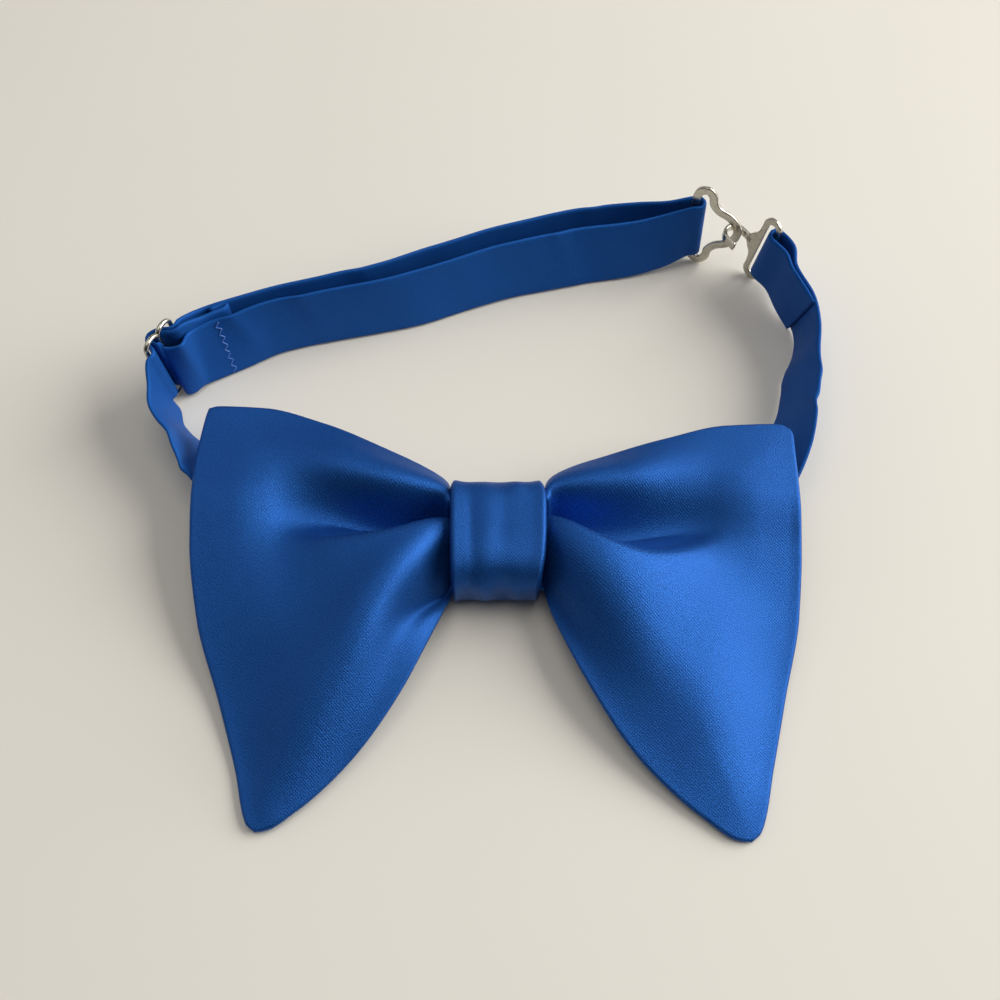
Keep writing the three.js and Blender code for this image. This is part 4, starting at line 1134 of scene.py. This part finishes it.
    def lines(self) -> tuple[Array, Array, Array, Array]:
        """The strap's lower and upper edges, the section number of each step and its arc length.

        Returns:
            The four rows of values, a step after the other.
        """
        made, _ = self.sections()
        low = np.array([s[0] for s in made])
        high = np.array([s[0] + s[1] * self.width for s in made])
        dense = np.linspace(0, len(made) - 1, (len(made) - 1) * self.fine_steps + 1)
        a, b = spline(low, dense), spline(high, dense)
        step = np.maximum(*(np.linalg.norm(np.diff(line, axis=0), axis=1) for line in (a, b)))
        walked = np.concatenate([[0], np.cumsum(step)])
        marks = np.linspace(0, walked[-1], int(walked[-1] / self.step) + 1)
        places = np.interp(marks, walked, dense)
        lower, upper = spline(low, places), spline(high, places)
        upper = lower + unit(upper - lower) * self.width
        return lower, upper, places, marks

    def build(self) -> Object:
        """The closed strap, with the slight waves that pressed satin keeps.

        Returns:
            The piece.
        """
        lower, upper, places, marks = self.lines()
        run = unit(np.gradient((lower + upper) / 2, axis=0))
        up = unit(upper - lower)
        face = unit(np.cross(run, up))
        _, starts = self.sections()
        rise = crowded(self.across, self.crowding) * self.width
        edge = np.clip(np.minimum(rise, self.width - rise) / self.edge_round, 0, 1)
        thickness = self.thick / 2 * np.sqrt(1 - (1 - edge) ** 2)
        on, over = marks[:, None], rise[None, :]
        wave = sum(ripple(on * along, over, *which) * height for along, height, *which in self.waves)
        for x, y, slant, depth, width in self.creases:
            start = marks[np.argmin(np.hypot(lower[:, 0] - x, lower[:, 1] - y))]
            off = (on - start - slant * over) / width
            # a crease is a quarter as deep at the lower edge as at the upper one
            wave = wave + depth * np.exp(-off * off) * (0.25 + 0.75 * over / self.width)
        for name, after in self.held:
            begun = smooth((places - starts[name] + self.settle) / self.settle)
            going = smooth((starts[after] + self.release - places) / self.settle)
            wave = wave * (1 - begun * going)[:, None]
        base = lower[:, None] + up[:, None] * rise[None, :, None]
        front = base - face[:, None] * (thickness[None, :, None] - wave[..., None])
        back = base + face[:, None] * (thickness[None, :, None] + wave[..., None])
        rings = np.concatenate([front, back[:, ::-1][:, 1:-1]], axis=1)
        rings[..., 2] = np.maximum(rings[..., 2], 0.0)
        around = np.concatenate([rise, rise[::-1][1:-1]])
        uv = np.stack(np.meshgrid(marks, around, indexing="ij"), axis=-1).reshape(-1, 2)
        faces = ring_faces(len(marks), len(around), False)
        return make_piece("satin_neckband", rings.reshape(-1, 3), faces, uv)


# Metal fittings


@dataclass
class Slider:
    """Two narrow arches of wire side by side with a bar between them."""

    radius: float = 0.65
    pitch: float = 5.3
    inside: float = 20.2
    arch: float = 1.9
    shared_bar: float = 1.02
    arch_steps: int = 25
    side_steps: int = 12

    def loop(self, start: float, end: float) -> Array:
        """The middle line of one half, as a closed loop in the fitting's plane.

        Args:
            start: Where its first arch foot stands along the strap.
            end: Where its other one stands.

        Returns:
            The points of the loop.
        """
        half = self.inside / 2 + self.radius
        centre, radius = (start + end) / 2, abs(end - start) / 2
        angle = np.linspace(math.pi, 0, self.arch_steps)
        rise = half - self.arch + self.arch * np.sin(angle)
        top = np.stack([centre + radius * np.cos(angle), rise], axis=1)
        foot = top[::-1] * np.array([1, -1])
        side = np.linspace(0, 1, self.side_steps)[1:-1, None]
        down = lerp(top[-1], foot[0], side)
        climb = lerp(foot[-1], top[0], side)
        flat = np.concatenate([top, down, foot, climb])
        return np.concatenate([flat, np.zeros((len(flat), 1))], axis=1)

    def build(self) -> list[Object]:
        """Both halves as one piece each; they share the middle bar.

        Returns:
            The two pieces.
        """
        made = []
        inward = -SLIDER_PLACE.axes()[3]
        # the second loop's wire is a hair thicker, so that the shared bar has no doubled surface
        rear = ("slider_rear_loop", -self.pitch, 0, 1.0)
        front = ("slider_front_loop", 0, self.pitch, self.shared_bar)
        for name, start, end, grow in (rear, front):
            line = SLIDER_PLACE.place(self.loop(start, end))
            made.append(swept(name, line, round_section(self.radius * grow), inward, closed=True))
        return made


# Half outlines of the fittings: along the strap and up the bar, in millimetres.
EYE_LINE = [
    (0, 0), (0, 10.0), (0.9, 11.8), (2.9, 12.2), (4.3, 10.7), (4.8, 8.2), (6.4, 6.2), (9.6, 4.6),
    (11.6, 2.4), (12.2, 0),
]
HOOK_LINE = [
    (0.8, 0), (0.8, 9.2), (0.2, 11.4), (-1.6, 12.5), (-3.6, 12.2), (-4.9, 10.6), (-5.0, 7.6),
    (-5.4, 4.6), (-6.9, 2.3), (-7.8, 0),
]
HOOK_SLOT = [(-0.8, 0), (-0.8, 9.4), (-1.3, 10.5), (-2.3, 10.7), (-3.2, 9.9), (-3.3, 8.4), (-3.3, 0)]


def mirrored(half: list[tuple[float, float]], count: int) -> Array:
    """A smooth closed outline through a half outline and its mirror image."""
    whole = np.array(half + [(a, -w) for a, w in half[1:-1][::-1]], float)
    return spline(whole, np.linspace(0, len(whole), count, endpoint=False), closed=True)


def stamped(name: str, outlines: list[Array], thick: float, corner: float, place: Fitting) -> Object:
    """A flat plate with holes and softened edges.

    Args:
        name: The piece's name.
        outlines: The outer outline and those of its holes, in the fitting's plane.
        thick: The plate's thickness.
        corner: The radius of its edges.
        place: Where it stands.

    Returns:
        The new object.
    """
    curve = bpy.data.curves.new(name + "_outline", "CURVE")
    curve.dimensions = "2D"
    curve.fill_mode = "BOTH"
    curve.extrude = thick / 2 - corner
    curve.bevel_depth = corner
    curve.bevel_resolution = 2
    curve.offset = -corner
    for outline in outlines:
        line = curve.splines.new("POLY")
        line.points.add(len(outline) - 1)
        fourth = np.tile([0.0, 1.0], (len(outline), 1))
        line.points.foreach_set("co", np.hstack([outline, fourth]).ravel())
        line.use_cyclic_u = True
    drawn = link_new(name + "_outline", curve)
    bpy.context.view_layer.update()
    flat = bpy.data.meshes.new_from_object(drawn.evaluated_get(bpy.context.evaluated_depsgraph_get()))
    points = np.empty(len(flat.vertices) * 3)
    flat.vertices.foreach_get("co", points)
    faces = [tuple(p.vertices) for p in flat.polygons]
    bpy.data.objects.remove(drawn)
    bpy.data.curves.remove(curve)
    bpy.data.meshes.remove(flat)
    return make_piece(name, place.place(points.reshape(-1, 3)), faces)


@dataclass
class Eye:
    """The flat band of the eye: a strap bar, a lobe at each end, a waist and a rounded tip."""

    band: float = 2.3
    thick: float = 1.0
    raised: float = 1.0
    corner: float = 0.28
    steps: int = 150

    def build(self) -> Object:
        """The band swept along its middle line.

        Returns:
            The piece.
        """
        line = mirrored(EYE_LINE, self.steps)
        points = EYE_PLACE.place(np.hstack([line, np.zeros((len(line), 1))]), self.raised)
        section = flat_section(self.band, self.thick, self.corner)
        return swept("nickel_eye", points, section, -EYE_PLACE.axes()[3], closed=True)


@dataclass
class Hook:
    """The stamped hook: a slotted plate with a narrow tongue bent back on itself."""

    thick: float = 1.0
    corner: float = 0.22
    tongue_width: float = 2.4
    tongue_corner: float = 0.25
    root: float = 6.2
    bend: float = 2.9
    lip: float = 2.6
    reach: float = 10.0
    plate_steps: int = 120
    slot_steps: int = 80
    bend_steps: int = 22

    def build(self) -> list[Object]:
        """The plate, and the tongue that runs on from it.

        Returns:
            The two pieces.
        """
        outlines = [mirrored(HOOK_LINE, self.plate_steps), mirrored(HOOK_SLOT, self.slot_steps)]
        plate = stamped("nickel_hook_plate", outlines, self.thick, self.corner, HOOK_PLACE)
        angle = np.linspace(-math.pi / 2, -1.5 * math.pi, self.bend_steps)
        along = np.linspace(-self.root, -self.reach, 8)[:-1]
        bent = -self.reach + self.bend * np.cos(angle)
        returning = np.linspace(-self.reach, -self.reach + self.lip, 6)[1:]
        height = [np.zeros(len(along)), self.bend + self.bend * np.sin(angle)]
        height.append(np.full(len(returning), 2 * self.bend))
        path, out = np.concatenate([along, bent, returning]), np.concatenate(height)
        line = HOOK_PLACE.place(np.stack([path, np.zeros(len(path)), out], axis=1))
        section = flat_section(self.thick, self.tongue_width, self.tongue_corner)
        return [plate, swept("nickel_hook_tongue", line, section, HOOK_PLACE.axes()[2])]


# Stitching


@dataclass
class Stitching:
    """The zigzag row that closes the returned end to the front layer."""

    thread: float = 0.17
    pitch: float = 1.25
    swing: float = 0.62
    x: float = -70.6
    margin: float = 0.8
    uneven: float = 0.16
    sides: int = 8
    steps: int = 8

    def build(self, band: Neckband) -> Object:
        """A zigzag of thread on the front layer's face towards the bow.

        Args:
            band: The neckband that it closes.

        Returns:
            The piece.
        """
        lower, upper, places, _ = band.lines()
        _, starts = band.sections()
        on = np.where((places >= starts["front layer"]) & (places < starts["slider bar"]))[0]
        at = on[np.argmin(np.abs(lower[on, 0] - self.x))]
        run = unit(lower[at + 2] - lower[at - 2])
        up = unit(upper[at] - lower[at])
        face = unit(np.cross(run, up))
        length = band.width - 2 * self.margin
        count = int(length / self.pitch)
        shown = -face if face[1] > 0 else face
        line = []
        for k in range(count):
            side = 1 if k % 2 else -1
            reach = self.swing + self.uneven * math.sin(2.3 * k + 0.7)
            for t in np.linspace(0, 1, self.steps, endpoint=False):
                rise = self.margin + length * (k + t) / count
                swing = reach * side * (2 * t - 1)
                # each stitch dips into the cloth at its ends
                off = band.thick / 2 + self.thread * (0.75 * math.sin(math.pi * t) ** 0.5 - 0.25)
                line.append(lower[at] + up * rise + run * swing + shown * off)
        return swept("zigzag_stitching", np.array(line), round_section(self.thread, self.sides), shown)


# The picture


@dataclass
class Studio:
    """A pale floor, a broad soft light from behind and a camera at the photograph's angle."""

    floor: str = "#EEEBE2"
    floor_shade: str = "#EAE6DC"
    floor_half: float = 3.0
    floor_drop: float = 0.00002
    sky: str = "#E9ECF2"
    eye: Triple = (0.0005, -0.1402, 0.2935)
    down_deg: float = 62.0
    lens: float = 46.8

    def camera(self) -> None:
        """The camera, looking down from the front."""
        data = bpy.data.cameras.new("camera")
        data.sensor_width = 36
        data.lens = self.lens
        data.clip_start, data.clip_end = 0.01, 20
        obj = link_new("camera", data)
        obj.location = self.eye
        obj.rotation_euler = (math.radians(90 - self.down_deg), 0, 0)
        bpy.context.scene.camera = obj

    def light(self, name: str, place: Triple, size: Pair, watts: float, colour: str) -> None:
        """A soft rectangular light that faces the knot.

        Args:
            name: The light's name.
            place: Where it hangs, in metres.
            size: Its width and height in metres.
            watts: Its strength.
            colour: Its colour.
        """
        data = bpy.data.lights.new(name, "AREA")
        data.shape = "RECTANGLE"
        data.size, data.size_y = size
        data.energy = watts
        data.color = linear(colour)[:3]
        obj = link_new(name, data)
        obj.location = place
        run = unit(-np.array(place))
        obj.rotation_euler = (math.acos(-run[2]), 0, math.atan2(run[1], run[0]) - math.pi / 2)

    def surface(self) -> None:
        """The pale tabletop."""
        made, tree, shader = new_material("matt_tabletop")
        place = add_node(tree, "ShaderNodeTexCoord").outputs["Object"]
        cloud = noise(tree, place, scale=6.0, detail=2.0)
        values = {"Roughness": 0.6, "Specular IOR Level": 0.25}
        set_node(tree, shader, values, {"Base Color": blended(tree, self.floor_shade, self.floor, cloud)})
        mesh = bpy.data.meshes.new("tabletop")
        s = self.floor_half
        mesh.from_pydata([(-s, -s, 0), (s, -s, 0), (s, s, 0), (-s, s, 0)], [], [(0, 1, 2, 3)])
        obj = link_new("tabletop", mesh)
        obj.location.z = -self.floor_drop
        obj.data.materials.append(made)

    def build(self) -> None:
        """Puts the camera, lights and floor in the scene."""
        self.camera()
        self.surface()
        world = bpy.data.worlds.new("room")
        world.use_nodes = True
        tree = world.node_tree
        background = tree.nodes["Background"]
        # the room is dimmer on the camera's side, away from the window
        way = add_node(tree, "ShaderNodeTexCoord").outputs["Generated"]
        depth = add_node(tree, "ShaderNodeSeparateXYZ", links={"Vector": way}).outputs["Y"]
        strength = mapped(tree, depth, (-0.7, 0.6), (0.03, 0.37))
        set_node(tree, background, {"Color": linear(self.sky)}, {"Strength": strength})
        bpy.context.scene.world = world
        self.light("window", (1.3, 0.36, 0.76), (1.5, 1.25), 31.0, "#FFFDF8")
        self.light("ceiling", (-0.1, 0.06, 1.1), (0.8, 0.8), 2.6, "#FFF8EE")
        self.light("wall", (-1.1, 0.2, 0.7), (1.2, 1.0), 1.0, "#F4F5F8")
        bpy.context.scene.view_settings.view_transform = "Standard"


def main() -> None:
    """Builds the tie piece by piece, then the picture round it."""
    logging.basicConfig(level=logging.INFO, format="%(name)s: %(message)s")
    bow_satin = SatinFinish("duchess_satin_bow", slant_deg=-45).material()
    # the knot's satin is a shade darker than the bow's: painted shade on the knot
    shaded_knot_satin = SatinFinish("duchess_satin_knot_shaded", "#2263B8", "#113F82", slant_deg=-45).material()
    dull = {"roughness": 0.5, "lustre": 0.3, "gloss": 0.08}
    band_satin = SatinFinish("duchess_satin_strap", "#1F5DB0", "#164E98", slant_deg=40, **dull).material()
    nickel = NickelFinish("tumbled_nickel_plate").material()
    thread = ThreadFinish("polyester_thread").material()

    bow = dress(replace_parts(Bow().build(), "bow"), bow_satin)
    knot = dress(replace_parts(Knot().build(), "knot_wrap"), shaded_knot_satin)
    neckband = Neckband()
    band = dress(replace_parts(neckband.build(), "neckband"), band_satin)
    made = [bow, knot, band]
    for loop in Slider().build():
        made.append(dress(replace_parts(loop, "slider"), nickel))
    made.append(dress(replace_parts(Eye().build(), "eye"), nickel))
    for part in Hook().build():
        made.append(dress(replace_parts(part, "hook"), nickel))
    made.append(dress(Stitching().build(neckband), thread))
    for piece in made:
        LOG.info("%s: %d faces", piece.name, len(piece.data.polygons))
    Studio().build()


if __name__ == "__main__":
    main()
